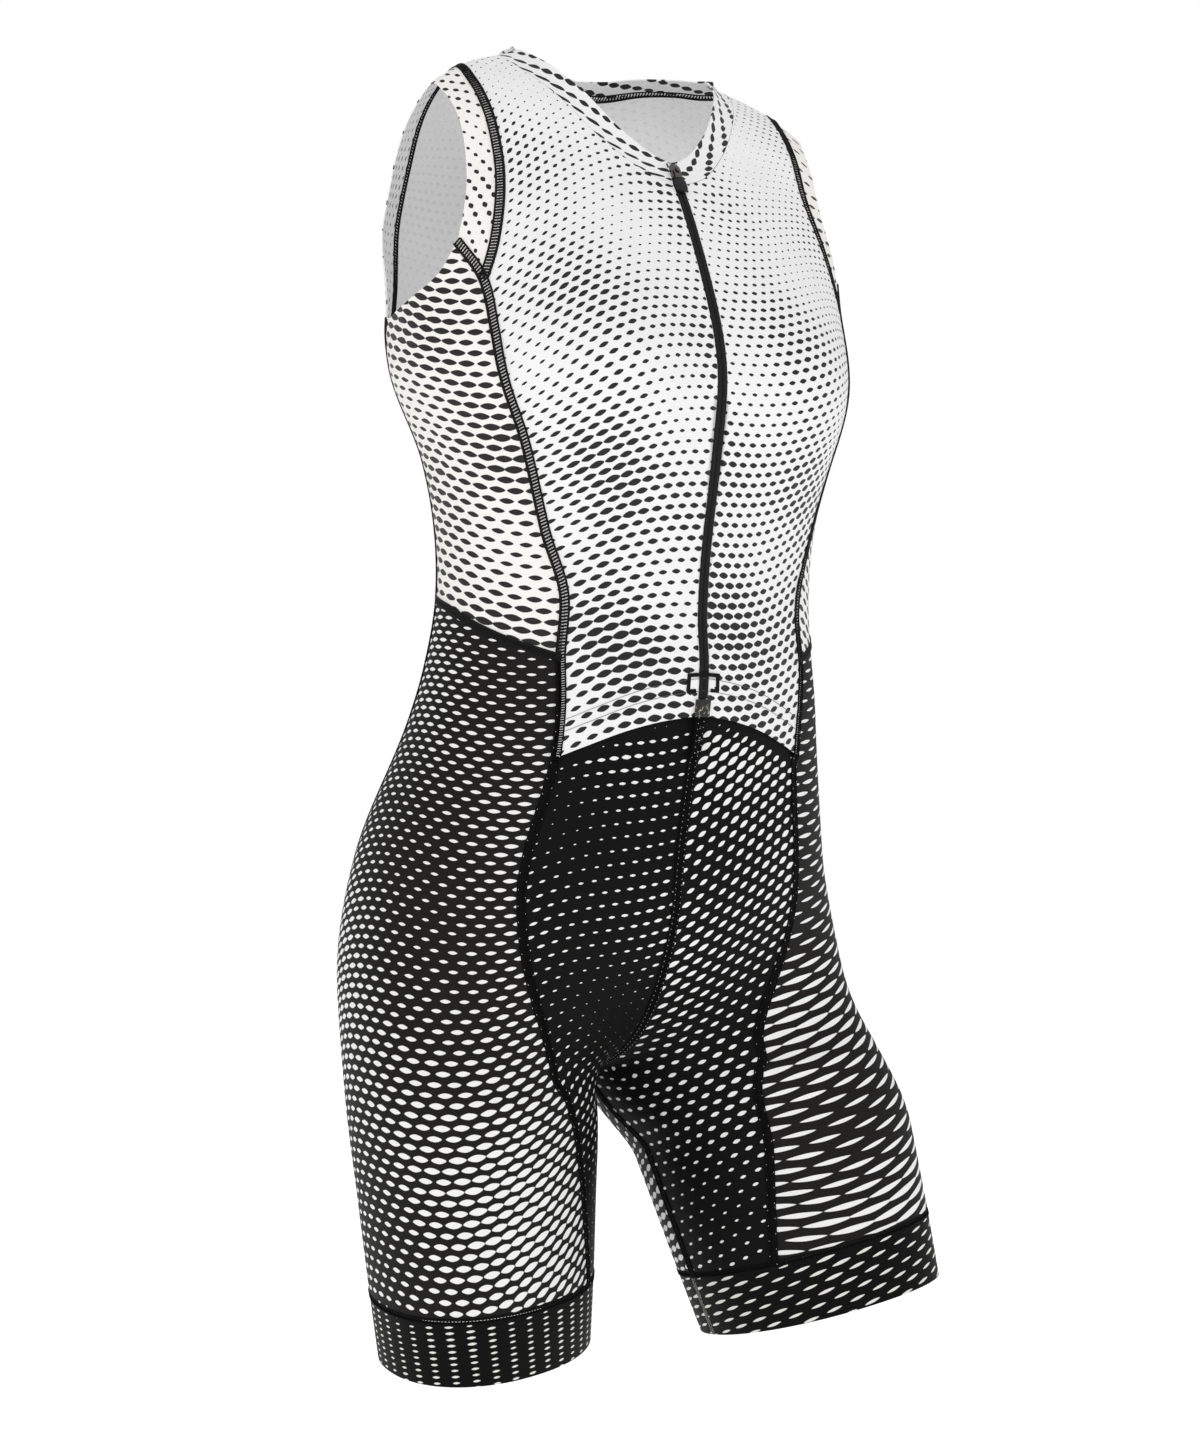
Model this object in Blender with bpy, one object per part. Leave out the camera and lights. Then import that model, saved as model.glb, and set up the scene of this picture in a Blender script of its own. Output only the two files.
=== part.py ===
"""A sleeveless one-piece cycling skinsuit that keeps the hollow shape it has when it is worn.

Frame: metres, +Z up, the front faces -Y and the wearer's left is +X. The origin is at the level of
the shoulder straps, in the middle plane, on the axis of the trunk.

Every panel is cut out of one garment surface. A place on that surface is a pair (around, drop):
around runs from 0 at the centre front, round the side, to 1 at the centre back (on a leg from the
inseam, over the front and outside, back to the inseam), and drop is the way down from the shoulder
ridge in millimetres. A negative drop lies behind the ridge. Tables below are in millimetres.
"""
import math

import bmesh
import bpy
import numpy as np

MM = 0.001
WELD = 1e-6              # metres within which two corners are one
STRAIGHT = 0.97          # cosine above which two steps of an edge count as one line

# ---- cloth -------------------------------------------------------------------------------------
CLOTH = 1.2              # thickness of the panels
COLLAR_CLOTH = 1.6       # the collar band is folded double
TAPE_CLOTH = 1.0
SEAM_GAP = 0.3           # space between two panels at a seam
OVERLAP_LIFT = 1.7       # how far the fronts' free hem stands over the shorts
ZIP_LIFT = 1.9           # extra lift of that hem where the zip runs under it
ZIP_LIFT_REACH = 0.035   # reach of that lift to each side, as a share of the half girth
LIFT_FROM, LIFT_OVER = 362.0, 36.0

# ---- sections of the trunk, from the shoulder ridge to the top of the thighs ----------------------
TRUNK_COLUMNS = ("drop", "half_width", "y_mid", "front", "back", "z_front", "z_side", "z_back",
                 "droop", "roll", "square")
TRUNK = (
    (0, 169, 25, 0, 0, 9, -50, 9, 3.4, 28, 2.2),
    (14, 169, 25, 22, 26, -3, -60, 9, 3.2, 26, 2.2),
    (36, 169, 25, 46, 50, -24, -76, 0, 3.0, 22, 2.2),
    (70, 169, 24, 68, 71, -60, -100, -34, 2.6, 16, 2.2),
    (110, 168, 21, 90, 90, -104, -122, -84, 2.2, 8, 2.2),
    (150, 165, 13, 100, 104, -148, -152, -140, 2.0, 2, 2.15),
    (205, 163, 11, 112, 98, -206, -206, -203, 2.0, 0, 2.1),
    (262, 143, 6, 105, 88, -262, -262, -262, 2.0, 0, 2.1),
    (345, 134, 4, 92, 78, -345, -345, -345, 2.0, 0, 2.15),
    (430, 145, 10, 95, 98, -430, -430, -430, 2.0, 0, 2.2),
    (520, 162, 22, 114, 121, -520, -520, -520, 2.0, 0, 2.25),
    (600, 174, 29, 117, 121, -600, -600, -600, 2.0, 0, 2.3),
    (680, 177, 27, 110, 102, -680, -680, -680, 2.0, 0, 2.3),
)
# ---- sections of a leg -----------------------------------------------------------------------------
LEG_COLUMNS = ("drop", "x_mid", "y_mid", "half_width", "front", "back")
LEG = (
    (500, 85, 24, 85, 96, 112),
    (600, 88, 24, 88, 96, 108),
    (670, 91, 20, 88, 92, 92),
    (740, 92, 18, 83, 84, 84),
    (800, 92, 16, 78, 78, 79),
    (860, 92, 15, 72, 73, 74),
)
LEG_SQUARE = 2.15
LEG_SHEAR = 0.22         # the thigh's section leans forward on its outer side
CROTCH_DROP = 665.0      # a multiple of DROP_STEP
RISE = 142.0             # height of the U that the centre seam draws under the body
LEG_BLEND_FROM = 520.0
CROTCH_SOFTENING = 24    # rounds of smoothing where the four shorts panels meet
SOFTEN_REACH = (45.0, 95.0, 75.0)
SOFTEN_SHARE = 0.8

# ---- room for the bust -----------------------------------------------------------------------------
BUST_DROP, BUST_ACROSS, BUST_DEPTH = 212.0, 76.0, 24.0
BUST_SPREAD_X, BUST_SPREAD_Z = 39.0, 46.0
BUST_APART, BUST_APART_FROM = 0.25, 60.0   # share of the fullness that also leads outward

# ---- stance ----------------------------------------------------------------------------------------
HIP_DROP, HIP_ACROSS, HIP_Y = 600.0, 88.0, 20.0
HIP_SHIFT = -14.0        # the hips stand over the wearer's right leg
HIP_TURN = -4.0          # degrees about the upright: the hips face the wearer's right
SHIFT_FROM, SHIFT_OVER = 400.0, 140.0
SWING = {"left": 12.0, "right": -1.0}    # degrees forward
SPLAY = {"left": 10.5, "right": -2.6}    # degrees outward
STEP = {"left": (8.0, -3.0, 0.0), "right": (0.0, 0.0, 0.0)}
POSE_FROM, POSE_OVER = 590.0, 150.0
INNER_OVER = 45.0        # the inside of the thigh starts at the crotch and follows sooner

# ---- seams and free edges, as (around, drop) ---------------------------------------------------------
SIDE_FRONT = ((0.345, 130), (0.312, 158), (0.302, 190), (0.302, 235), (0.267, 312), (0.227, 352),
              (0.222, 392), (0.206, 428), (0.196, 454), (0.196, 515), (0.194, 575), (0.195, 640),
              (0.206, 665), (0.194, 682), (0.158, 755), (0.138, 797))
SIDE_FRONT_JOINTS = (0, 1, 6, 7, 8, 15)
SIDE_BACK = ((0.575, 173), (0.620, 197), (0.628, 250), (0.606, 322), (0.600, 352), (0.622, 450),
             (0.655, 560), (0.672, 650), (0.660, 740), (0.640, 797))
SIDE_BACK_JOINTS = (0, 1, 3, 4, 9)
ARMHOLE_SEAM = ((0.312, 158), (0.281, 132), (0.254, 100), (0.241, 72), (0.242, 36), (0.254, -10),
                (0.266, -30), (0.280, -60), (0.289, -100), (0.306, -150), (0.348, -185), (0.380, -197))
ARMHOLE_SEAM_JOINTS = (0, 5, 11)
ARMHOLE_EDGE = ((0.345, 130), (0.324, 110), (0.306, 86), (0.296, 46), (0.304, 18), (0.330, -6),
                (0.354, -24), (0.381, -55), (0.399, -95), (0.411, -135), (0.425, -173))
ARMHOLE_EDGE_JOINTS = (0, 5, 10)
UNDERARM_EDGE = ((0.345, 130), (0.396, 152), (0.475, 166), (0.545, 173), (0.575, 173))
NECK_FRONT = ((0.0, 94), (0.030, 88), (0.075, 69), (0.119, 40), (0.155, 13), (0.173, -3))
NECK_BACK = ((0.173, -3), (0.150, -9), (0.120, -13), (0.085, -20), (0.040, -32), (0.0, -36))
SHOULDER_SEAM = ((0.173, -3), (0.214, -7), (0.254, -10))
WAIST_SEAM = ((0.222, 392), (0.350, 378), (0.430, 368), (0.500, 359), (0.600, 352))
BACK_WAIST = ((0.606, 322), (0.720, 327), (0.860, 332), (1.0, 336))
FRONT_HEM = ((0.0, 428), (0.054, 432), (0.096, 437), (0.156, 447), (0.196, 454))
SHORTS_TOP = ((0.0, 404), (0.100, 414), (0.206, 428))
BAND_DROP, HEM_DROP = 797.0, 839.0

# ---- how finely each stretch is divided ----------------------------------------------------------------
N_ENDS = 3               # across the armhole strip
N_SIDE, N_FLAP_TOP, N_FLAP, N_LEG = 12, 2, 2, 17
N_ZIP = N_SIDE + N_FLAP_TOP + N_FLAP
N_ARM_FRONT, N_ARM_BACK = 10, 11
N_FRONT, N_HIP, N_BACK = 7, 11, 8
N_BACK_UPPER, N_BACK_BLACK = 9, 3
N_NECK_BACK = 6          # of the back's rows, those that end on the neck seam
N_CENTRE_BACK = N_BACK_UPPER + N_ARM_BACK - N_NECK_BACK
N_SHORTS_FRONT = 6
N_INSEAM, N_BAND, N_COLLAR = 5, 2, 3

# ---- collar ----------------------------------------------------------------------------------------------
COLLAR_HEIGHT = ((0.0, 18.0), (0.50, 18.0), (0.68, 15.0), (1.0, 13.0))   # (share of the way to the back, mm)
COLLAR_STEPS = 12        # short steps in which the band's rise is followed, four to a row of the solid
COLLAR_RISE = ((0.0, 0.0), (0.45, 0.45), (0.62, 0.2), (1.0, 0.2))         # (the same share, upright turn)
NECK_AXIS = (0.0, 20.0, 0.0)

# ---- zip ---------------------------------------------------------------------------------------------------
ZIP_HALF = 3.8           # from the centre to the edge of each front panel
COIL_HALF, COIL_BOTTOM, COIL_TOP = 3.4, -1.2, 0.9
TAPE_INNER, TAPE_OUTER, TAPE_LEVEL = 1.5, 14.0, -1.8
ZIP_TOP_DROP = 94.0
COIL_END_DROP, STOP_END_DROP = 417.0, 429.0
BLOCK_HALF, BLOCK_BOTTOM, BLOCK_TOP = 5.6, 0.35, 1.5
SLIDER_RISE = 6.0        # from the neck seam up to the slider's lower end
SLIDER_LENGTH, SLIDER_WIDTH, SLIDER_POST = 10.0, 8.4, 2.2
SLIDER_TOP, SLIDER_OVER = 1.4, 1.2       # thickness of the upper plate, and its height over the cloth
SLIDER_FOOT, SLIDER_UNDER = 1.0, -2.8    # thickness of the lower plate, and its level inside
SLIDER_PLAN = ((0.72, 0.0), (1.0, 0.3), (0.9, 0.82), (0.45, 1.0))   # shares of half width and length
POST_FROM, POST_TO = 0.3, 0.9            # shares of the slider's length
BRIDGE_HALF, BRIDGE_BAR = 0.8, 0.6
PIVOT_UP, PIVOT_OUT = 4.2, 3.4           # where the ring's bar turns in the bridge
RING_HALF, RING_LENGTH, RING_BAR = 2.5, 6.4, 0.8
RING_HOLE_HALF, RING_HOLE_LENGTH = 1.15, 2.4
BITE = 0.2               # how far two solids that are to be one reach into each other
TAB_WIDTH, TAB_LENGTH, TAB_THICK = 8.4, 11.0, 2.0
TAB_SHOULDER, TAB_TOP = 2.2, 0.75        # length of the sloping shoulders, and width above them as a share
TAB_ROUND = 6            # steps round the tab's free end

WHITE = (0.86, 0.85, 0.83, 1.0)
WARM_WHITE = (0.88, 0.86, 0.82, 1.0)
BLACK = (0.016, 0.015, 0.015, 1.0)
SOFT_BLACK = (0.030, 0.028, 0.027, 1.0)
STEEL = (0.62, 0.62, 0.60, 1.0)

AROUND_STEPS, DROP_STEP = 120, 5.0
DROP_LOWEST, DROP_BEHIND = 880.0, 205.0
MIRROR = np.array([-1.0, 1.0, 1.0])
UP = np.array([0.0, 0.0, 1.0])


# ---- the garment surface ---------------------------------------------------------------------------------
def smoothstep(t):
    t = np.clip(t, 0.0, 1.0)
    return t * t * (3 - 2 * t)


def unit(v):
    return v / (np.linalg.norm(v, axis=-1, keepdims=True) + 1e-12)


def through(knots, rows, at):
    """A smooth curve through the rows, one at each knot, read at the values of `at`."""
    knots, rows, at = (np.asarray(v, float) for v in (knots, rows, at))
    flat = rows.reshape(len(knots), -1)
    step = np.diff(knots)[:, None]
    rise = np.diff(flat, axis=0) / step
    slope = np.concatenate([rise[:1], rise, rise[-1:]])[:len(knots)]
    slope[1:-1] = (rise[:-1] * step[1:] + rise[1:] * step[:-1]) / (step[1:] + step[:-1])
    slope[-1] = rise[-1]
    i = np.clip(np.searchsorted(knots, at) - 1, 0, len(knots) - 2)
    span = (knots[i + 1] - knots[i])[:, None]
    t = (at - knots[i])[:, None] / span
    value = ((2 * t**3 - 3 * t**2 + 1) * flat[i] + (t**3 - 2 * t**2 + t) * span * slope[i]
             + (3 * t**2 - 2 * t**3) * flat[i + 1] + (t**3 - t**2) * span * slope[i + 1])
    return value.reshape((len(at),) + rows.shape[1:])


def trunk_ring(row, around):
    """Half of a trunk section: a rounded outline whose middle may dip to the shoulder's slope."""
    r = dict(zip(TRUNK_COLUMNS, row))
    sine, cosine = np.sin(np.pi * around), np.cos(np.pi * around)
    power = 2 / r["square"]
    out = np.abs(sine) ** power
    depth = np.where(cosine > 0, r["front"], r["back"])
    y = r["y_mid"] - np.sign(cosine) * depth * np.abs(cosine) ** power - r["roll"] * out**2
    middle = np.where(cosine > 0, r["z_front"], r["z_back"])
    z = middle + (r["z_side"] - middle) * out ** r["droop"]
    return np.stack([r["half_width"] * out, y, z], -1)


def leg_ring(row, around):
    r = dict(zip(LEG_COLUMNS, row))
    sine, cosine = np.sin(2 * np.pi * around), np.cos(2 * np.pi * around)
    power = 2 / LEG_SQUARE
    x = -r["half_width"] * np.sign(cosine) * np.abs(cosine) ** power
    depth = np.where(sine > 0, r["front"], r["back"])
    y = r["y_mid"] - np.sign(sine) * depth * np.abs(sine) ** power - LEG_SHEAR * x
    return np.stack([r["x_mid"] + x, y, np.full_like(x, -r["drop"])], -1)


def bust_room(grid, around):
    """Fullness on both sides, with the cloth stretched straight between them."""
    down = (grid[..., 2] + BUST_DROP) / BUST_SPREAD_Z
    near, far = ((grid[..., 0] - x) / BUST_SPREAD_X for x in (BUST_ACROSS, -BUST_ACROSS))
    bump = BUST_DEPTH * (np.exp(-near**2 / 2) + np.exp(-far**2 / 2)) * np.exp(-down**2 / 2)
    bump = bump * (around < 0.5)
    grid[..., 1] -= bump
    grid[..., 0] += BUST_APART * bump * smoothstep(grid[..., 0] / BUST_APART_FROM)


def half_body():
    """Points of one half over (drop, around), before the legs take their stance."""
    around = np.linspace(0, 1, AROUND_STEPS + 1)
    drops = np.arange(0, DROP_LOWEST + 1e-6, DROP_STEP)
    rings = [trunk_ring(row, around) for row in TRUNK]
    behind = [ring[::-1] for ring in rings[3:0:-1]]
    knots = [row[0] for row in TRUNK]
    trunk = through([-k for k in knots[3:0:-1]] + knots, behind + rings, np.minimum(drops, knots[-1]))
    leg = through([row[0] for row in LEG], [leg_ring(row, around) for row in LEG],
                  np.maximum(drops, LEG[0][0]))
    under = np.clip((drops - (CROTCH_DROP - RISE)) / RISE, 0, 1)
    middle = (1 - np.sqrt(1 - under**2))[:, None]
    outside = smoothstep((drops - LEG_BLEND_FROM) / (CROTCH_DROP - LEG_BLEND_FROM))[:, None]
    near = np.abs(np.cos(np.pi * around))[None, :] ** 3
    share = (middle * near + outside * (1 - near))[..., None]
    grid = trunk * (1 - share) + leg * share
    low = drops > LEG_BLEND_FROM
    grid[low, :, 2] = -drops[low, None]
    joined = drops <= CROTCH_DROP
    grid[joined, 0, 0] = 0
    grid[joined, -1, 0] = 0
    bust_room(grid, around)
    return drops, grid


def neighbours(drops, grid):
    """The columns just beyond around = 0 and 1: the other half above the crotch, the leg below it."""
    above = (drops < CROTCH_DROP)[:, None]
    before = np.where(above, grid[:, 1] * MIRROR, grid[:, -2])
    after = np.where(above, grid[:, -2] * MIRROR, grid[:, 1])
    return before[:, None], after[:, None]


def soften_crotch(drops, grid):
    """Round the crease where the two halves and the two legs meet."""
    centre = np.array([0.0, HIP_Y, -CROTCH_DROP])
    joined = drops <= CROTCH_DROP
    for _ in range(CROTCH_SOFTENING):
        before, after = neighbours(drops, grid)
        wide = np.concatenate([before, grid, after], 1)
        across = (wide[:, :-2] + wide[:, 2:]) / 2
        upper = np.concatenate([grid[:1], grid[:-1]])
        lower = np.concatenate([grid[1:], grid[-1:]])
        mean = (across * 2 + upper + lower) / 4
        weight = SOFTEN_SHARE * np.exp(-(((grid - centre) / SOFTEN_REACH) ** 2).sum(-1, keepdims=True))
        grid = grid + (mean - grid) * weight
        grid[joined, 0, 0] = 0
        grid[joined, -1, 0] = 0
    return grid


def build_surface():
    drops, grid = half_body()
    grid = soften_crotch(drops, grid)
    behind = int(DROP_BEHIND / DROP_STEP)
    before, after = neighbours(drops, grid)
    wide = np.concatenate([before, grid, after], 1)
    wide = np.concatenate([wide[behind:0:-1, ::-1], wide])
    return np.concatenate([wide[:1], wide, wide[-1:]])


SURFACE = build_surface()


def cubic(t):
    return np.stack([-t**3 + 2 * t**2 - t, 3 * t**3 - 5 * t**2 + 2,
                     -3 * t**3 + 4 * t**2 + t, t**3 - t**2], -1) / 2


def at_rest(around, drop):
    """A point of the left half before its stance, read smoothly from the grid."""
    u = around * AROUND_STEPS
    v = (drop + DROP_BEHIND) / DROP_STEP
    iu = np.clip(np.floor(u).astype(int), 0, AROUND_STEPS - 1)
    iv = np.clip(np.floor(v).astype(int), 0, len(SURFACE) - 4)
    wu, wv = cubic(u - iu), cubic(v - iv)
    point = 0.0
    for i in range(4):
        for j in range(4):
            point = point + (wv[..., i] * wu[..., j])[..., None] * SURFACE[iv + i, iu + j]
    return point


def take_stance(point, around, drop, side):
    """Step, swing and splay a leg about the hip, then turn and shift the hips."""
    ends = np.abs(np.cos(np.pi * around)) ** 6
    start = POSE_FROM + (CROTCH_DROP - POSE_FROM) * ends
    share = smoothstep((drop - start) / (POSE_OVER + (INNER_OVER - POSE_OVER) * ends))
    swing, splay = np.radians(SWING[side]) * share, np.radians(SPLAY[side]) * share
    hip = np.array([HIP_ACROSS, HIP_Y, -HIP_DROP])
    x, y, z = np.moveaxis(point + share[..., None] * STEP[side] - hip, -1, 0)
    y, z = y * np.cos(swing) + z * np.sin(swing), z * np.cos(swing) - y * np.sin(swing)
    x, z = x * np.cos(splay) - z * np.sin(splay), z * np.cos(splay) + x * np.sin(splay)
    x, y, z = np.moveaxis(np.stack([x, y, z], -1) + hip, -1, 0)
    if side == "right":
        x = -x
    turned = smoothstep((drop - SHIFT_FROM) / SHIFT_OVER)
    turn = np.radians(HIP_TURN) * turned
    x, y = x * np.cos(turn) - (y - HIP_Y) * np.sin(turn), (y - HIP_Y) * np.cos(turn) + x * np.sin(turn)
    return np.stack([x + HIP_SHIFT * turned, y + HIP_Y, z], -1)


def surface(around, drop, side):
    around, drop = np.broadcast_arrays(np.asarray(around, float), np.asarray(drop, float))
    return take_stance(at_rest(around, drop), around, drop, side)


def normal(around, drop, side):
    """The direction out of the garment, square to its surface."""
    around, drop = np.broadcast_arrays(np.asarray(around, float), np.asarray(drop, float))
    da, dd = 0.004, 2.0
    a0, a1 = np.maximum(around - da, 0), np.minimum(around + da, 1)
    along = surface(a1, drop, side) - surface(a0, drop, side)
    down = surface(around, drop + dd, side) - surface(around, drop - dd, side)
    out = np.cross(down, along)
    middle = (np.abs(around - 0.5) > 0.5 - 1e-9) & (drop < CROTCH_DROP)
    out[..., 0] = np.where(middle, 0, out[..., 0])
    return unit(out) * (1 if side == "left" else -1)


def lift(around, drop):
    """How far the fronts stand out over the shorts near their free hem."""
    zip_part = ZIP_LIFT * np.exp(-(around / ZIP_LIFT_REACH) ** 2)
    return smoothstep((drop - LIFT_FROM) / LIFT_OVER) * (OVERLAP_LIFT + zip_part)


# ---- seams -----------------------------------------------------------------------------------------------
def divide(points, joints, counts):
    """Points along a seam, evenly spaced on the cloth between its joints."""
    points = np.asarray(points, float)
    stretch = np.array([480.0, 1.0])
    length = np.concatenate([[0], np.cumsum(np.linalg.norm(np.diff(points * stretch, axis=0), axis=1))])
    fine = []
    for start, stop, count in zip(joints[:-1], joints[1:], counts):
        t = np.linspace(length[start], length[stop], 200)
        dense = through(length, points, t)
        place = at_rest(dense[:, 0], dense[:, 1])
        run = np.concatenate([[0], np.cumsum(np.linalg.norm(np.diff(place, axis=0), axis=1))])
        even = np.interp(np.linspace(0, run[-1], count + 1), run, t)
        fine.append(through(length, points, even)[(1 if fine else 0):])
    return np.concatenate(fine)


def simple(points, count):
    return divide(points, (0, len(points) - 1), (count,))


def beside_zip(grid):
    """Move the second column along the zip to the outer edge of the tape, and even out the others."""
    for i, row in enumerate(grid):
        place = at_rest(row[:, 0], row[:, 1])
        run = np.concatenate([[0], np.cumsum(np.linalg.norm(np.diff(place, axis=0), axis=1))])
        first = TAPE_OUTER if i <= N_ZIP else min(TAPE_OUTER, run[-1] / (len(row) - 1))
        wanted = np.concatenate([[0], np.linspace(first, run[-1], len(row) - 1)])
        grid[i] = np.stack([np.interp(wanted, run, row[:, k]) for k in (0, 1)], -1)
    return grid


def straight(around, top, bottom, count):
    t = np.linspace(top, bottom, 60)
    return divide(np.stack([np.full_like(t, around), t], -1), (0, 59), (count,))


def join(*parts):
    return np.concatenate([parts[0]] + [p[1:] for p in parts[1:]])


def behind(points):
    """The same place written from the back: around counted from the centre front, drop negative."""
    return np.stack([1 - points[:, 0], -points[:, 1]], -1)


def patch(left, right, bottom, top):
    """Fill a four-sided panel between its edges; rows run from bottom to top, columns left to right."""
    rows, columns = len(left), len(bottom)
    v = np.linspace(0, 1, rows)[:, None, None]
    u = np.linspace(0, 1, columns)[None, :, None]
    ruled = left[:, None] * (1 - u) + right[:, None] * u + bottom[None] * (1 - v) + top[None] * v
    corners = (bottom[0] * (1 - u) * (1 - v) + bottom[-1] * u * (1 - v)
               + top[0] * (1 - u) * v + top[-1] * u * v)
    return ruled - corners


def seams():
    side_front = divide(SIDE_FRONT, SIDE_FRONT_JOINTS, (N_ENDS, N_SIDE, N_FLAP_TOP, N_FLAP, N_LEG))
    n_back = (N_ENDS, N_BACK_UPPER, N_BACK_BLACK, N_FLAP_TOP + N_FLAP + N_LEG)
    side_back = divide(SIDE_BACK, SIDE_BACK_JOINTS, n_back)
    armhole = divide(ARMHOLE_SEAM, ARMHOLE_SEAM_JOINTS, (N_ARM_FRONT, N_ARM_BACK))
    edge = divide(ARMHOLE_EDGE, ARMHOLE_EDGE_JOINTS, (N_ARM_FRONT, N_ARM_BACK))
    return side_front, side_back, armhole, edge


def flat_panels():
    """Each panel of one half as a grid of (around, drop), with the inset of its four edges."""
    side_front, side_back, armhole, edge = seams()
    j_front, j_back = N_ENDS, N_ENDS
    waist = j_front + N_SIDE
    top = waist + N_FLAP_TOP
    flap = top + N_FLAP
    b_waist = j_back + N_BACK_UPPER
    w_back = b_waist + N_BACK_BLACK
    gap = SEAM_GAP / 2
    arm_front, arm_back = armhole[:N_ARM_FRONT + 1], armhole[N_ARM_FRONT:]

    neck_front = simple(NECK_FRONT, N_ARM_FRONT)
    front_left = join(straight(0.0, FRONT_HEM[0][1], NECK_FRONT[0][1], N_ZIP), neck_front)
    front_right = join(side_front[j_front:flap + 1][::-1], arm_front)
    front = patch(front_left, front_right, simple(FRONT_HEM, N_FRONT), simple(SHOULDER_SEAM, N_FRONT))
    front = beside_zip(front)

    strip = patch(edge, armhole, side_front[:j_front + 1], behind(side_back[:j_back + 1]))

    neck_back = behind(simple(NECK_BACK, N_NECK_BACK)[::-1])
    back_left = join(straight(1.0, BACK_WAIST[-1][1], -NECK_BACK[-1][1], N_CENTRE_BACK), neck_back)
    back_right = join(side_back[j_back:b_waist + 1][::-1], behind(arm_back[::-1]))
    shoulder_back = behind(simple(SHOULDER_SEAM, N_BACK))
    back = patch(back_left, back_right, simple(BACK_WAIST, N_BACK)[::-1], shoulder_back)

    side = patch(side_front[:waist + 1][::-1], side_back[:w_back + 1][::-1],
                 simple(WAIST_SEAM, N_HIP), simple(UNDERARM_EDGE, N_HIP))

    inseam = straight(0.0, CROTCH_DROP, BAND_DROP, N_INSEAM)
    front_rows = len(side_front) - 1 - top
    centre = straight(0.0, SHORTS_TOP[0][1], CROTCH_DROP, front_rows - N_INSEAM)
    a_front, a_back = SIDE_FRONT[-1][0], SIDE_BACK[-1][0]

    def band_line(a0, a1, count):
        return np.linspace((a0, BAND_DROP), (a1, BAND_DROP), count + 1)

    shorts_front = patch(join(centre, inseam)[::-1], side_front[top:][::-1],
                         band_line(0.0, a_front, N_SHORTS_FRONT), simple(SHORTS_TOP, N_SHORTS_FRONT))
    shorts_side = patch(side_front[waist:][::-1], side_back[w_back:][::-1],
                        band_line(a_front, a_back, N_HIP), simple(WAIST_SEAM, N_HIP))
    back_rows = len(side_back) - 1 - b_waist
    centre_back = straight(1.0, BACK_WAIST[-1][1], CROTCH_DROP, back_rows - N_INSEAM)
    inseam_back = straight(1.0, CROTCH_DROP, BAND_DROP, N_INSEAM)
    shorts_back = patch(side_back[b_waist:][::-1], join(centre_back, inseam_back)[::-1],
                        band_line(a_back, 1.0, N_BACK), simple(BACK_WAIST, N_BACK))

    zip_edge = [ZIP_HALF] * N_ZIP + [gap] * N_ARM_FRONT
    back_edge = [0] * N_CENTRE_BACK + [gap] * N_NECK_BACK
    # what each edge keeps from the seam line: left, right, bottom, top
    return {
        "front": (front, (zip_edge, gap, 0, gap)),
        "armhole": (strip, (0, gap, gap, gap)),
        "back": (back, (back_edge, gap, gap, gap)),
        "side": (side, (gap, gap, gap, 0)),
        "shorts_front": (shorts_front, (gap, gap, gap, 0)),
        "shorts_side": (shorts_side, (gap, gap, gap, gap)),
        "shorts_back": (shorts_back, (gap, gap, gap, gap)),
    }


# ---- solids ----------------------------------------------------------------------------------------------
def border(rows, columns):
    """The vertices round a grid, and for each of its steps the edge it runs along."""
    bottom = [(0, j) for j in range(columns - 1)]
    right = [(i, columns - 1) for i in range(rows - 1)]
    top = [(rows - 1, j) for j in range(columns - 1, 0, -1)]
    left = [(i, 0) for i in range(rows - 1, 0, -1)]
    edges = ([("bottom", k) for k in range(columns - 1)] + [("right", k) for k in range(rows - 1)]
             + [("top", k) for k in range(columns - 2, -1, -1)]
             + [("left", k) for k in range(rows - 2, -1, -1)])
    return bottom + right + top + left, edges


def draw_in(points, out, insets):
    """Move the border of a panel inward, within its surface, by the inset of each edge."""
    loop, edges = border(*points.shape[:2])
    inset = dict(zip(("left", "right", "bottom", "top"), insets))
    amount = [inset[e][k] if isinstance(inset[e], list) else inset[e] for e, k in edges]
    ring = np.array([points[v] for v in loop])
    step = unit(np.roll(ring, -1, axis=0) - ring)
    middle = tuple(n // 2 for n in points.shape[:2])
    facing = np.cross(points[middle[0], middle[1]] - points[middle[0], middle[1] - 1],
                      points[middle[0], middle[1]] - points[middle[0] - 1, middle[1]])
    sign = 1 if facing @ out[middle] > 0 else -1
    moved = points.copy()
    for k, vertex in enumerate(loop):
        n = out[vertex]
        m1, m2 = (sign * unit(np.cross(n, t)) for t in (step[k - 1], step[k]))
        o1, o2 = amount[k - 1], amount[k]
        c = float(m1 @ m2)
        if c > STRAIGHT:
            shift = unit(m1 + m2) * (o1 + o2) / 2
        else:
            shift = m1 * (o1 - c * o2) / (1 - c * c) + m2 * (o2 - c * o1) / (1 - c * c)
        inner = tuple(min(max(v, 1), size - 2) for v, size in zip(vertex, points.shape))
        toward = points[inner] - points[vertex]
        height = toward @ n
        run = toward - height * n
        moved[vertex] = points[vertex] + shift + n * height * (shift @ run) / (run @ run + 1e-9)
    return moved


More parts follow.
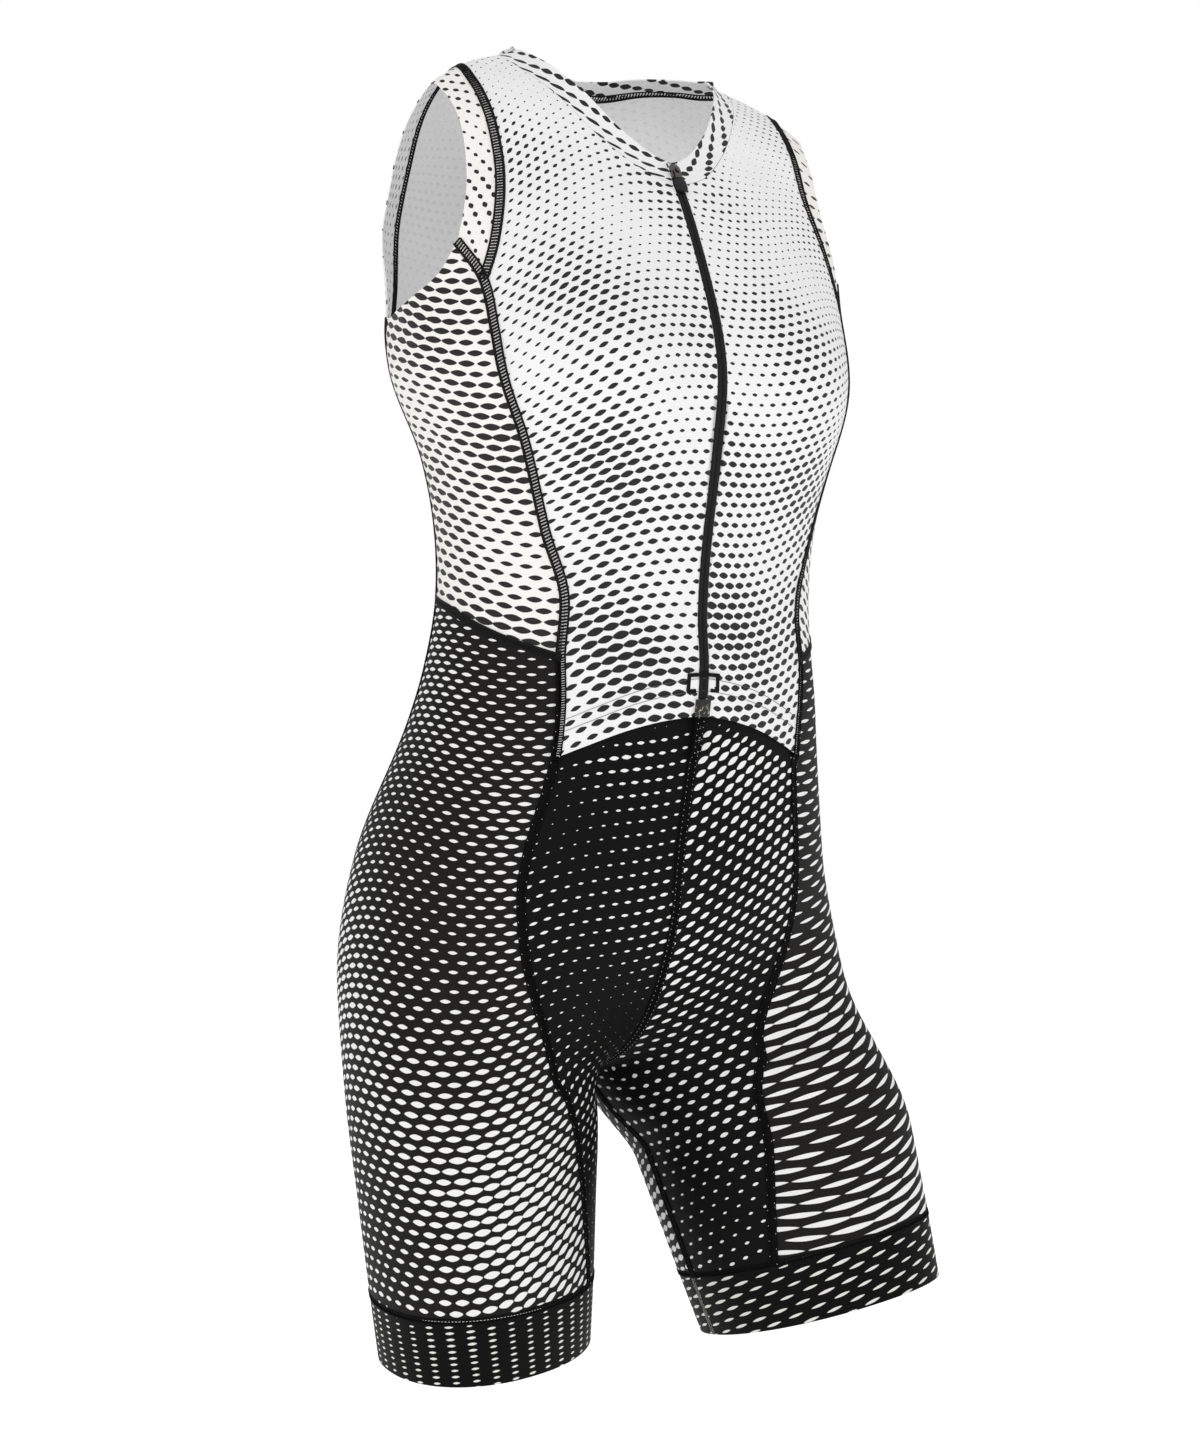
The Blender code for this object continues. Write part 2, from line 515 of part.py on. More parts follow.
def wall_mesh(outer, inner, closed=False, joined=0):
    """A closed wall between two grids of points.

    `closed` joins the last column to the first, and `joined` leaves the left rim of the lowest rows
    open, to be joined to another wall.
    """
    rows, columns = outer.shape[:2]
    vertices = [tuple(p * MM) for p in np.concatenate([outer.reshape(-1, 3), inner.reshape(-1, 3)])]
    half = rows * columns

    def at(i, j, layer):
        return layer * half + i * columns + j % columns

    faces = []
    spans = columns if closed else columns - 1
    for i in range(rows - 1):
        for j in range(spans):
            low, right, far, left = (i, j), (i, j + 1), (i + 1, j + 1), (i + 1, j)
            for triangle in ((low, right, far), (low, far, left)):
                faces.append([at(*v, 0) for v in triangle])
                faces.append([at(*v, 1) for v in reversed(triangle)])
    for j in range(spans):
        faces.append([at(0, j + 1, 0), at(0, j, 0), at(0, j, 1), at(0, j + 1, 1)])
        faces.append([at(rows - 1, j, 0), at(rows - 1, j + 1, 0),
                      at(rows - 1, j + 1, 1), at(rows - 1, j, 1)])
    for i in range(0 if closed else rows - 1):
        if i >= joined:
            faces.append([at(i, 0, 0), at(i + 1, 0, 0), at(i + 1, 0, 1), at(i, 0, 1)])
        faces.append([at(i + 1, columns - 1, 0), at(i, columns - 1, 0),
                      at(i, columns - 1, 1), at(i + 1, columns - 1, 1)])
    return vertices, faces


def material(name, colour, roughness, metallic=0.0):
    made = bpy.data.materials.get(name)
    if made is None:
        made = bpy.data.materials.new(name)
        made.use_nodes = True
        shader = made.node_tree.nodes["Principled BSDF"]
        shader.inputs["Base Color"].default_value = colour
        shader.inputs["Roughness"].default_value = roughness
        shader.inputs["Metallic"].default_value = metallic
    return made


def add_object(name, vertices, faces, finish):
    mesh = bpy.data.meshes.new(name)
    mesh.from_pydata(vertices, [], faces)
    work = bmesh.new()
    work.from_mesh(mesh)
    bmesh.ops.remove_doubles(work, verts=work.verts, dist=WELD)
    bmesh.ops.recalc_face_normals(work, faces=work.faces)
    work.to_mesh(mesh)
    work.free()
    mesh.materials.append(finish)
    made = bpy.data.objects.new(name, mesh)
    bpy.context.collection.objects.link(made)
    return made


def cloth_wall(grid, side, insets, raised=None):
    """Outer and inner points of a panel, drawn in at its seams."""
    around, drop = grid[..., 0], grid[..., 1]
    out = normal(around, drop, side)
    points = surface(around, drop, side)
    if raised is not None:
        points = points + out * raised(around, drop)[..., None]
    points = draw_in(points, out, insets)
    return points, points - out * CLOTH


def panel(name, grid, side, insets, finish, raised=None):
    outer, inner = cloth_wall(grid, side, insets, raised)
    return add_object(f"{name}_{side}", *wall_mesh(outer, inner), finish)


def whole_back(grid, insets, finish):
    """The two halves of the back are one piece of cloth, joined at the centre below the neck."""
    vertices, faces = [], []
    for side in ("left", "right"):
        half, walls = wall_mesh(*cloth_wall(grid, side, insets), joined=N_CENTRE_BACK)
        faces += [[k + len(vertices) for k in face] for face in walls]
        vertices += half
    return add_object("back", vertices, faces, finish)


def leg_band(side, finish):
    a_front, a_back = SIDE_FRONT[-1][0], SIDE_BACK[-1][0]
    around = join(np.linspace(0, a_front, N_SHORTS_FRONT + 1), np.linspace(a_front, a_back, N_HIP + 1),
                  np.linspace(a_back, 1, N_BACK + 1))[:-1]
    rows = np.linspace(HEM_DROP, BAND_DROP, N_BAND + 1)
    around, drop = np.meshgrid(around, rows)
    out = normal(around, drop, side)
    points = surface(around, drop, side)
    points[-1] += unit(points[-2] - points[-1]) * SEAM_GAP
    mesh = wall_mesh(points, points - out * CLOTH, closed=True)
    return add_object(f"leg_band_{side}", *mesh, finish)


def collar_path(seam, inward, height, turn):
    """The band leaves the seam along the cloth, then turns upright."""
    place, track = seam, [seam]
    for k in range(COLLAR_STEPS):
        t = (k + 0.5) / COLLAR_STEPS
        way = unit(inward + (2 * t * turn)[:, None] * UP)
        place = place + way * (height / COLLAR_STEPS)[:, None]
        track.append(place)
    return np.array(track)[::COLLAR_STEPS // N_COLLAR]


def collar_half(side):
    """Grid of the collar from the centre front to the centre back, rows from the seam upward."""
    neck = join(simple(NECK_FRONT, N_ARM_FRONT), simple(NECK_BACK, N_NECK_BACK))
    around, drop = neck[:, 0], neck[:, 1]
    seam = surface(around, drop, side)
    out = normal(around, drop, side)
    along = unit(np.gradient(seam, axis=0))
    along[0] = along[-1] = (1, 0, 0) if side == "left" else (-1, 0, 0)
    along[-1] = -along[-1]
    inward = unit(np.cross(out, along)) * (1 if side == "left" else -1)
    way = np.linspace(0, 1, len(neck))
    height, turn = (np.interp(way, *zip(*table)) for table in (COLLAR_HEIGHT, COLLAR_RISE))
    return collar_path(seam, inward, height, turn)


def collar(finish):
    left, right = collar_half("left"), collar_half("right")
    points = np.concatenate([right, left[:, -2::-1]], 1)
    rise = np.gradient(points, axis=0)
    along = np.gradient(points, axis=1)
    out = unit(np.cross(along, rise))
    away = (points - NECK_AXIS) * np.array([1.0, 1.0, 0.0])
    out = out * np.sign((out * away).sum(-1, keepdims=True).mean())
    points = draw_in(points, out, (ZIP_HALF, ZIP_HALF, SEAM_GAP / 2, 0))
    return add_object("collar", *wall_mesh(points, points - out * COLLAR_CLOTH), finish)


# ---- zip -------------------------------------------------------------------------------------------------
def zip_frame(drop):
    """Place, upward direction and outward direction on the zip's line, straight on above the neck seam."""
    on_cloth = max(drop, ZIP_TOP_DROP)
    place = surface(0.0, on_cloth, "left")
    upward = unit(surface(0.0, on_cloth - 2.0, "left") - surface(0.0, on_cloth + 2.0, "left"))
    out = normal(0.0, on_cloth, "left")
    place = place + out * lift(0.0, on_cloth)
    return place + upward * (on_cloth - drop), upward, out


def zip_strip(name, half, low, high, drops, finish):
    """A bar along the zip's line."""
    rows = []
    for drop in drops:
        place, _, out = zip_frame(drop)
        rows.append([place + np.array([x, 0, 0]) + out * level
                     for x, level in ((-half, low), (half, low), (half, high), (-half, high))])
    vertices = [tuple(p * MM) for row in rows for p in row]
    last = len(vertices) - 4
    faces = [[0, 1, 2, 3], [last + k for k in (3, 2, 1, 0)]]
    for i in range(len(rows) - 1):
        for k in range(4):
            a, b = 4 * i + k, 4 * i + (k + 1) % 4
            faces.append([a, b, b + 4, a + 4])
    return add_object(name, vertices, faces, finish)


def zip_coil(front, finish):
    """The closed chain, from its end block to just under the slider."""
    drops = front[:N_ZIP + 1, 0, 1]
    drops = [COIL_END_DROP, *drops[drops < COIL_END_DROP], ZIP_TOP_DROP - SLIDER_RISE + SEAM_GAP]
    return zip_strip("zip_coil", COIL_HALF, COIL_BOTTOM, COIL_TOP, drops, finish)


def zip_tape(front, side, finish):
    """The tape lies behind the front's first column, on the same points moved inward."""
    grid = front[:N_ZIP + 1, :2]
    around, drop = grid[..., 0], grid[..., 1]
    out = normal(around, drop, side)
    points = surface(around, drop, side) + out * (lift(around, drop) + TAPE_LEVEL)[..., None]
    points[:, 0] += unit(points[:, 1] - points[:, 0]) * TAPE_INNER
    share = (drop[0, 0] - COIL_END_DROP) / (drop[0, 0] - drop[1, 0])
    points[0] += (points[1] - points[0]) * share
    mesh = wall_mesh(points, points - out * TAPE_CLOTH)
    return add_object(f"zip_tape_{side}", *mesh, finish)


class ZipSpace:
    """The slider's own axes: across, up along the zip from the slider's lower end, and out."""

    def __init__(self):
        self.origin, self.up, self.out = zip_frame(ZIP_TOP_DROP - SLIDER_RISE)

    def place(self, x, t, n):
        return tuple((self.origin + np.array([x, 0, 0]) + self.up * t + self.out * n) * MM)

    def block(self, first, last):
        """A solid between two like rings of points."""
        count = len(first)
        vertices = [self.place(*point) for point in (*first, *last)]
        faces = [list(range(count)), list(range(2 * count - 1, count - 1, -1))]
        for k in range(count):
            nxt = (k + 1) % count
            faces.append([k, count + k, count + nxt, nxt])
        return vertices, faces

    def prism(self, outline, low, high):
        """An outline in (across, up), raised from low to high."""
        return self.block(*([(x, t, n) for x, t in outline] for n in (low, high)))

    def arch(self, outline, half):
        """An outline in (up, out), as wide across as twice half."""
        return self.block(*([(x, t, n) for t, n in outline] for x in (-half, half)))


def unite(name, solids, finish):
    """Join overlapping solids into one body."""
    parts = [add_object(f"{name}_part{k}", *solid, finish) for k, solid in enumerate(solids)]
    whole = parts[0]
    whole.name = name
    for part in parts[1:]:
        modifier = whole.modifiers.new("join", "BOOLEAN")
        modifier.operation = "UNION"
        modifier.object = part
    evaluated = whole.evaluated_get(bpy.context.evaluated_depsgraph_get())
    mesh = bpy.data.meshes.new_from_object(evaluated)
    whole.modifiers.clear()
    whole.data = mesh
    for part in parts[1:]:
        bpy.data.objects.remove(part, do_unlink=True)
    return whole


def slider(space, finish):
    """Two plates on a post, with a small bridge on the upper one in which the pull turns."""
    half = [(x * SLIDER_WIDTH / 2, t * SLIDER_LENGTH) for x, t in SLIDER_PLAN]
    plan = half + [(-x, t) for x, t in reversed(half)]
    top = SLIDER_OVER + SLIDER_TOP
    start, end, half = POST_FROM * SLIDER_LENGTH, POST_TO * SLIDER_LENGTH, SLIDER_POST / 2
    post = ((-half, start), (half, start), (half, end), (-half, end))
    clear, foot = RING_BAR, top - BITE      # clear: from the turning axis to the bridge all round
    inside = ((-clear, foot), (-clear, PIVOT_OUT + clear), (clear, PIVOT_OUT + clear), (clear, foot))
    wide, head = clear + BRIDGE_BAR, PIVOT_OUT + clear + BRIDGE_BAR
    outside = ((wide, foot), (wide, head), (-wide, head), (-wide, foot))
    bridge = [(PIVOT_UP + t, n) for t, n in inside + outside]
    solids = [
        space.prism(plan, SLIDER_OVER, top),
        space.prism(post, SLIDER_UNDER - BITE, SLIDER_OVER + BITE),
        space.prism(plan, SLIDER_UNDER - SLIDER_FOOT, SLIDER_UNDER),
        space.arch(bridge, BRIDGE_HALF),
    ]
    return unite("zip_slider", solids, finish)


def pull_ring(space, finish):
    """A flat ring whose upper bar turns in the slider's bridge."""
    bar = RING_BAR / 2
    wide, low, high = RING_HALF, PIVOT_UP - RING_LENGTH, PIVOT_UP + bar
    outer = ((-wide, low), (wide, low), (wide, high), (-wide, high))
    wide, low, high = RING_HOLE_HALF, PIVOT_UP - RING_HOLE_LENGTH, PIVOT_UP - bar
    hole = ((-wide, low), (wide, low), (wide, high), (-wide, high))
    levels = (PIVOT_OUT - bar, PIVOT_OUT + bar)
    vertices = [space.place(x, t, level) for level in levels for x, t in outer + hole]
    faces = []
    for k in range(4):
        nxt = (k + 1) % 4
        faces.append([k, nxt, 4 + nxt, 4 + k])
        faces.append([8 + nxt, 8 + k, 12 + k, 12 + nxt])
        faces.append([k, 8 + k, 8 + nxt, nxt])
        faces.append([4 + nxt, 12 + nxt, 12 + k, 4 + k])
    return add_object("zip_pull_ring", vertices, faces, finish)


def pull_tab(space, finish):
    """A flat moulded tab on the ring's lower end, round at its free end."""
    start = PIVOT_UP - RING_LENGTH - SEAM_GAP
    half, end = TAB_WIDTH / 2, start - TAB_LENGTH
    plan = [(-half * TAB_TOP, start), (-half, start - TAB_SHOULDER)]
    for k in range(TAB_ROUND + 1):
        angle = math.pi * (1 + k / TAB_ROUND)
        plan.append((half * math.cos(angle), end + half * (1 + math.sin(angle))))
    plan += [(half, start - TAB_SHOULDER), (half * TAB_TOP, start)]
    return add_object("zip_pull_tab", *space.prism(plan, PIVOT_OUT - TAB_THICK, PIVOT_OUT), finish)


def build_zip(front, tape, metal, moulded):
    zip_coil(front, tape)
    ends = (COIL_END_DROP + 2 * SEAM_GAP, STOP_END_DROP)
    zip_strip("zip_end", BLOCK_HALF, BLOCK_BOTTOM, BLOCK_TOP, np.linspace(*ends, 3), moulded)
    for side in ("left", "right"):
        zip_tape(front, side, tape)
    space = ZipSpace()
    slider(space, metal)
    pull_ring(space, metal)
    pull_tab(space, moulded)


def main():
    for old in list(bpy.data.objects):
        bpy.data.objects.remove(old, do_unlink=True)
    white = material("front_knit", WHITE, 0.75)
    warm = material("side_knit", WARM_WHITE, 0.6)
    black = material("shorts_knit", BLACK, 0.6)
    soft_black = material("hip_knit", SOFT_BLACK, 0.5)
    tape = material("zip_tape", BLACK, 0.8)
    metal = material("zip_metal", STEEL, 0.3, 1.0)
    moulded = material("zip_moulding", BLACK, 0.5)
    finishes = {"front": white, "armhole": warm, "side": warm, "shorts_front": black,
                "shorts_side": soft_black, "shorts_back": black}
    panels = flat_panels()
    for side in ("left", "right"):
        for name, finish in finishes.items():
            grid, insets = panels[name]
            panel(name, grid, side, insets, finish, lift if name == "front" else None)
        leg_band(side, black)
    whole_back(*panels["back"], white)
    collar(warm)
    build_zip(panels["front"][0], tape, metal, moulded)


if __name__ == "__main__":
    main()
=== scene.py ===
"""Builds a sleeveless cycling skinsuit: printed knit panels, flat seams, collar band, zip and leg bands.

Every panel is cut out of one garment surface. A place on it is a pair (around, drop): around runs from
0 at the centre front, round the side, to 1 at the centre back (on a leg from the inseam, over the
front and outside, back to the inseam), and drop is the way down from the shoulder ridge in
millimetres. A negative drop lies behind the ridge. Tables are in millimetres, finished meshes in
metres.
"""
import math

import bmesh
import bpy
import numpy as np
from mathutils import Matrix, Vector


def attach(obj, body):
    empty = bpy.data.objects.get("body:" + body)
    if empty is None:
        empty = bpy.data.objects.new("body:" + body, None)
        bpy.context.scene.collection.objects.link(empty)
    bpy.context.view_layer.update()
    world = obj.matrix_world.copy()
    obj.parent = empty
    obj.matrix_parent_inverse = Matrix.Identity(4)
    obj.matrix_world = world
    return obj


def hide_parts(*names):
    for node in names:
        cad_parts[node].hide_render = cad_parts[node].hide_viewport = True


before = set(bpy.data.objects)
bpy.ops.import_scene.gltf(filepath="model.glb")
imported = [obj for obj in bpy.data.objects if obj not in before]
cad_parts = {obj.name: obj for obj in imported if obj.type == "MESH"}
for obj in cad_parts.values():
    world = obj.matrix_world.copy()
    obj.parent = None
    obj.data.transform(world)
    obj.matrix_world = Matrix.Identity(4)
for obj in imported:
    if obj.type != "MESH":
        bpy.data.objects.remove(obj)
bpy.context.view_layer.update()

bl_info = {
    "name": "Cycling Skinsuit",
    "version": (1, 0, 0),
    "blender": (4, 5, 0),
    "location": "View3D > Sidebar > Skinsuit",
    "description": "Builds a sleeveless cycling skinsuit from printed knit panels, with its seams and zip",
    "category": "Add Mesh",
}

MM = 0.001
STRAIGHT = 0.97          # cosine above which two steps of an edge count as one line
FINE = 5                 # steps of the shells for each step of the solids

# ---- cloth ----
SEAM_GAP = 0.3           # space between two panels at a seam
OVERLAP_LIFT = 1.7       # how far the fronts' free hem stands over the shorts
ZIP_LIFT = 1.9           # extra lift of that hem where the zip runs under it
ZIP_LIFT_REACH = 0.035   # reach of that lift to each side, as a share of the half girth
LIFT_FROM, LIFT_OVER = 362.0, 36.0

# ---- sections of the trunk, from the shoulder ridge to the top of the thighs ----
TRUNK_COLUMNS = ("drop", "half_width", "y_mid", "front", "back", "z_front", "z_side", "z_back",
                 "droop", "roll", "square")
TRUNK = (
    (0, 169, 25, 0, 0, 9, -50, 9, 3.4, 28, 2.2),
    (14, 169, 25, 22, 26, -3, -60, 9, 3.2, 26, 2.2),
    (36, 169, 25, 46, 50, -24, -76, 0, 3.0, 22, 2.2),
    (70, 169, 24, 68, 71, -60, -100, -34, 2.6, 16, 2.2),
    (110, 168, 21, 90, 90, -104, -122, -84, 2.2, 8, 2.2),
    (150, 165, 13, 100, 104, -148, -152, -140, 2.0, 2, 2.15),
    (205, 163, 11, 112, 98, -206, -206, -203, 2.0, 0, 2.1),
    (262, 143, 6, 105, 88, -262, -262, -262, 2.0, 0, 2.1),
    (345, 134, 4, 92, 78, -345, -345, -345, 2.0, 0, 2.15),
    (430, 145, 10, 95, 98, -430, -430, -430, 2.0, 0, 2.2),
    (520, 162, 22, 114, 121, -520, -520, -520, 2.0, 0, 2.25),
    (600, 174, 29, 117, 121, -600, -600, -600, 2.0, 0, 2.3),
    (680, 177, 27, 110, 102, -680, -680, -680, 2.0, 0, 2.3),
)
# ---- sections of a leg ----
LEG_COLUMNS = ("drop", "x_mid", "y_mid", "half_width", "front", "back")
LEG = (
    (500, 85, 24, 85, 96, 112),
    (600, 88, 24, 88, 96, 108),
    (670, 91, 20, 88, 92, 92),
    (740, 92, 18, 83, 84, 84),
    (800, 92, 16, 78, 78, 79),
    (860, 92, 15, 72, 73, 74),
)
LEG_SQUARE = 2.15
LEG_SHEAR = 0.22         # the thigh's section leans forward on its outer side
CROTCH_DROP = 665.0      # a multiple of DROP_STEP
RISE = 142.0             # height of the U that the centre seam draws under the body
CENTRE_POWER = 3         # how closely that U keeps to the centre
LEG_BLEND_FROM = 520.0
CROTCH_SOFTENING = 24    # rounds of smoothing where the four shorts panels meet
SOFTEN_REACH = (45.0, 95.0, 75.0)
SOFTEN_SHARE = 0.8

# ---- room for the bust ----
BUST_DROP, BUST_ACROSS, BUST_DEPTH = 212.0, 76.0, 24.0
BUST_SPREAD_X, BUST_SPREAD_Z = 39.0, 46.0
BUST_APART, BUST_APART_FROM = 0.25, 60.0   # share of the fullness that also leads outward

# ---- stance ----
HIP_DROP, HIP_ACROSS, HIP_Y = 600.0, 88.0, 20.0
HIP_SHIFT = -14.0        # the hips stand over the wearer's right leg
HIP_TURN = -4.0          # degrees about the upright: the hips face the wearer's right
SHIFT_FROM, SHIFT_OVER = 400.0, 140.0
SWING = {"left": 12.0, "right": -1.0}    # degrees forward
SPLAY = {"left": 10.5, "right": -2.6}    # degrees outward
STEP = {"left": (8.0, -3.0, 0.0), "right": (0.0, 0.0, 0.0)}
POSE_FROM, POSE_OVER = 590.0, 150.0
INNER_OVER = 45.0        # the inside of the thigh starts at the crotch and follows sooner
INNER_POWER = 6          # how closely that keeps to the inside

# ---- seams and free edges, as (around, drop) ----
SIDE_FRONT = ((0.345, 130), (0.312, 158), (0.302, 190), (0.302, 235), (0.267, 312), (0.227, 352),
              (0.222, 392), (0.206, 428), (0.196, 454), (0.196, 515), (0.194, 575), (0.195, 640),
              (0.206, 665), (0.194, 682), (0.158, 755), (0.138, 797))
SIDE_FRONT_JOINTS = (0, 1, 6, 7, 8, 15)
SIDE_BACK = ((0.575, 173), (0.620, 197), (0.628, 250), (0.606, 322), (0.600, 352), (0.622, 450),
             (0.655, 560), (0.672, 650), (0.660, 740), (0.640, 797))
SIDE_BACK_JOINTS = (0, 1, 3, 4, 9)
ARMHOLE_SEAM = ((0.312, 158), (0.281, 132), (0.254, 100), (0.241, 72), (0.242, 36), (0.254, -10),
                (0.266, -30), (0.280, -60), (0.289, -100), (0.306, -150), (0.348, -185), (0.380, -197))
ARMHOLE_SEAM_JOINTS = (0, 5, 11)
ARMHOLE_EDGE = ((0.345, 130), (0.324, 110), (0.306, 86), (0.296, 46), (0.304, 18), (0.330, -6),
                (0.354, -24), (0.381, -55), (0.399, -95), (0.411, -135), (0.425, -173))
ARMHOLE_EDGE_JOINTS = (0, 5, 10)
UNDERARM_EDGE = ((0.345, 130), (0.396, 152), (0.475, 166), (0.545, 173), (0.575, 173))
NECK_FRONT = ((0.0, 94), (0.030, 88), (0.075, 69), (0.119, 40), (0.155, 13), (0.173, -3))
NECK_BACK = ((0.173, -3), (0.150, -9), (0.120, -13), (0.085, -20), (0.040, -32), (0.0, -36))
SHOULDER_SEAM = ((0.173, -3), (0.214, -7), (0.254, -10))
WAIST_SEAM = ((0.222, 392), (0.350, 378), (0.430, 368), (0.500, 359), (0.600, 352))
BACK_WAIST = ((0.606, 322), (0.720, 327), (0.860, 332), (1.0, 336))
FRONT_HEM = ((0.0, 428), (0.054, 432), (0.096, 437), (0.156, 447), (0.196, 454))
SHORTS_TOP = ((0.0, 404), (0.100, 414), (0.206, 428))
BAND_DROP, HEM_DROP = 797.0, 839.0

# ---- how finely each stretch is divided ----
N_ENDS = 3 * FINE        # across the armhole strip
N_SIDE, N_FLAP_TOP, N_FLAP, N_LEG = 12 * FINE, 2 * FINE, 2 * FINE, 17 * FINE
N_ZIP = N_SIDE + N_FLAP_TOP + N_FLAP
N_ARM_FRONT, N_ARM_BACK = 10 * FINE, 11 * FINE
N_FRONT, N_HIP, N_BACK = 7 * FINE, 11 * FINE, 8 * FINE
N_BACK_UPPER, N_BACK_BLACK = 9 * FINE, 3 * FINE
N_NECK_BACK = 6 * FINE   # of the back's rows, those that end on the neck seam
N_CENTRE_BACK = N_BACK_UPPER + N_ARM_BACK - N_NECK_BACK
N_SHORTS_FRONT = 6 * FINE
N_INSEAM, N_BAND, N_COLLAR = 5 * FINE, 10, 6

# ---- collar ----
# (share of the way to the back, height in millimetres), and (the same share, turn toward upright)
COLLAR_HEIGHT = ((0.0, 18.0), (0.50, 18.0), (0.68, 15.0), (1.0, 13.0))
COLLAR_RISE = ((0.0, 0.0), (0.45, 0.45), (0.62, 0.2), (1.0, 0.2))
COLLAR_STEPS = 12        # short steps in which the band's rise is followed, two to a row of the grid
NECK_AXIS = (0.0, 20.0, 0.0)

# ---- zip ----
ZIP_HALF = 3.8           # from the centre to the edge of each front panel
ZIP_TOP_DROP, COIL_END_DROP = 94.0, 417.0
SLIDER_RISE = 6.0        # from the neck seam up to the slider's lower end

# ---- the grid that the surface is read from ----
AROUND_STEPS, DROP_STEP = 120, 5.0
DROP_LOWEST, DROP_BEHIND = 880.0, 205.0
NORMAL_STEP = (0.004, 2.0)               # to each side of a place, to find the direction out
READ_STEPS = 200         # places at which a stretch of a seam is measured
STRAIGHT_KNOTS = 60      # knots of a seam that runs straight down
MIRROR = np.array([-1.0, 1.0, 1.0])
UP = np.array([0.0, 0.0, 1.0])
STRETCH = np.array([480.0, 1.0])         # millimetres of cloth for one unit of (around, drop)


# ---- the garment surface ----
def smoothstep(t):
    t = np.clip(t, 0.0, 1.0)
    return t * t * (3 - 2 * t)


def unit(v):
    return v / (np.linalg.norm(v, axis=-1, keepdims=True) + 1e-12)


def through(knots, rows, at):
    """A smooth curve through the rows, one at each knot, read at the values of `at`."""
    knots, rows, at = (np.asarray(v, float) for v in (knots, rows, at))
    flat = rows.reshape(len(knots), -1)
    step = np.diff(knots)[:, None]
    rise = np.diff(flat, axis=0) / step
    slope = np.concatenate([rise[:1], rise, rise[-1:]])[:len(knots)]
    slope[1:-1] = (rise[:-1] * step[1:] + rise[1:] * step[:-1]) / (step[1:] + step[:-1])
    slope[-1] = rise[-1]
    i = np.clip(np.searchsorted(knots, at) - 1, 0, len(knots) - 2)
    span = (knots[i + 1] - knots[i])[:, None]
    t = (at - knots[i])[:, None] / span
    value = ((2 * t**3 - 3 * t**2 + 1) * flat[i] + (t**3 - 2 * t**2 + t) * span * slope[i]
             + (3 * t**2 - 2 * t**3) * flat[i + 1] + (t**3 - t**2) * span * slope[i + 1])
    return value.reshape((len(at),) + rows.shape[1:])


def trunk_ring(row, around):
    """Half of a trunk section: a rounded outline whose middle may dip to the shoulder's slope."""
    r = dict(zip(TRUNK_COLUMNS, row))
    sine, cosine = np.sin(np.pi * around), np.cos(np.pi * around)
    power = 2 / r["square"]
    out = np.abs(sine) ** power
    depth = np.where(cosine > 0, r["front"], r["back"])
    y = r["y_mid"] - np.sign(cosine) * depth * np.abs(cosine) ** power - r["roll"] * out**2
    middle = np.where(cosine > 0, r["z_front"], r["z_back"])
    z = middle + (r["z_side"] - middle) * out ** r["droop"]
    return np.stack([r["half_width"] * out, y, z], -1)


def leg_ring(row, around):
    r = dict(zip(LEG_COLUMNS, row))
    sine, cosine = np.sin(2 * np.pi * around), np.cos(2 * np.pi * around)
    power = 2 / LEG_SQUARE
    x = -r["half_width"] * np.sign(cosine) * np.abs(cosine) ** power
    depth = np.where(sine > 0, r["front"], r["back"])
    y = r["y_mid"] - np.sign(sine) * depth * np.abs(sine) ** power - LEG_SHEAR * x
    return np.stack([r["x_mid"] + x, y, np.full_like(x, -r["drop"])], -1)


def bust_room(grid, around):
    """Fullness on both sides, with the cloth stretched straight between them."""
    down = (grid[..., 2] + BUST_DROP) / BUST_SPREAD_Z
    near, far = ((grid[..., 0] - x) / BUST_SPREAD_X for x in (BUST_ACROSS, -BUST_ACROSS))
    bump = BUST_DEPTH * (np.exp(-near**2 / 2) + np.exp(-far**2 / 2)) * np.exp(-down**2 / 2)
    bump = bump * (around < 0.5)
    grid[..., 1] -= bump
    grid[..., 0] += BUST_APART * bump * smoothstep(grid[..., 0] / BUST_APART_FROM)


def half_body():
    """Points of one half over (drop, around), before the legs take their stance."""
    around = np.linspace(0, 1, AROUND_STEPS + 1)
    drops = np.arange(0, DROP_LOWEST + 1e-6, DROP_STEP)
    rings = [trunk_ring(row, around) for row in TRUNK]
    behind = [ring[::-1] for ring in rings[3:0:-1]]
    knots = [row[0] for row in TRUNK]
    trunk = through([-k for k in knots[3:0:-1]] + knots, behind + rings, np.minimum(drops, knots[-1]))
    leg = through([row[0] for row in LEG], [leg_ring(row, around) for row in LEG],
                  np.maximum(drops, LEG[0][0]))
    under = np.clip((drops - (CROTCH_DROP - RISE)) / RISE, 0, 1)
    middle = (1 - np.sqrt(1 - under**2))[:, None]
    outside = smoothstep((drops - LEG_BLEND_FROM) / (CROTCH_DROP - LEG_BLEND_FROM))[:, None]
    near = np.abs(np.cos(np.pi * around))[None, :] ** CENTRE_POWER
    share = (middle * near + outside * (1 - near))[..., None]
    grid = trunk * (1 - share) + leg * share
    low = drops > LEG_BLEND_FROM
    grid[low, :, 2] = -drops[low, None]
    joined = drops <= CROTCH_DROP
    grid[joined, 0, 0] = 0
    grid[joined, -1, 0] = 0
    bust_room(grid, around)
    return drops, grid


def neighbours(drops, grid):
    """The columns just beyond around = 0 and 1: the other half above the crotch, the leg below it."""
    above = (drops < CROTCH_DROP)[:, None]
    before = np.where(above, grid[:, 1] * MIRROR, grid[:, -2])
    after = np.where(above, grid[:, -2] * MIRROR, grid[:, 1])
    return before[:, None], after[:, None]


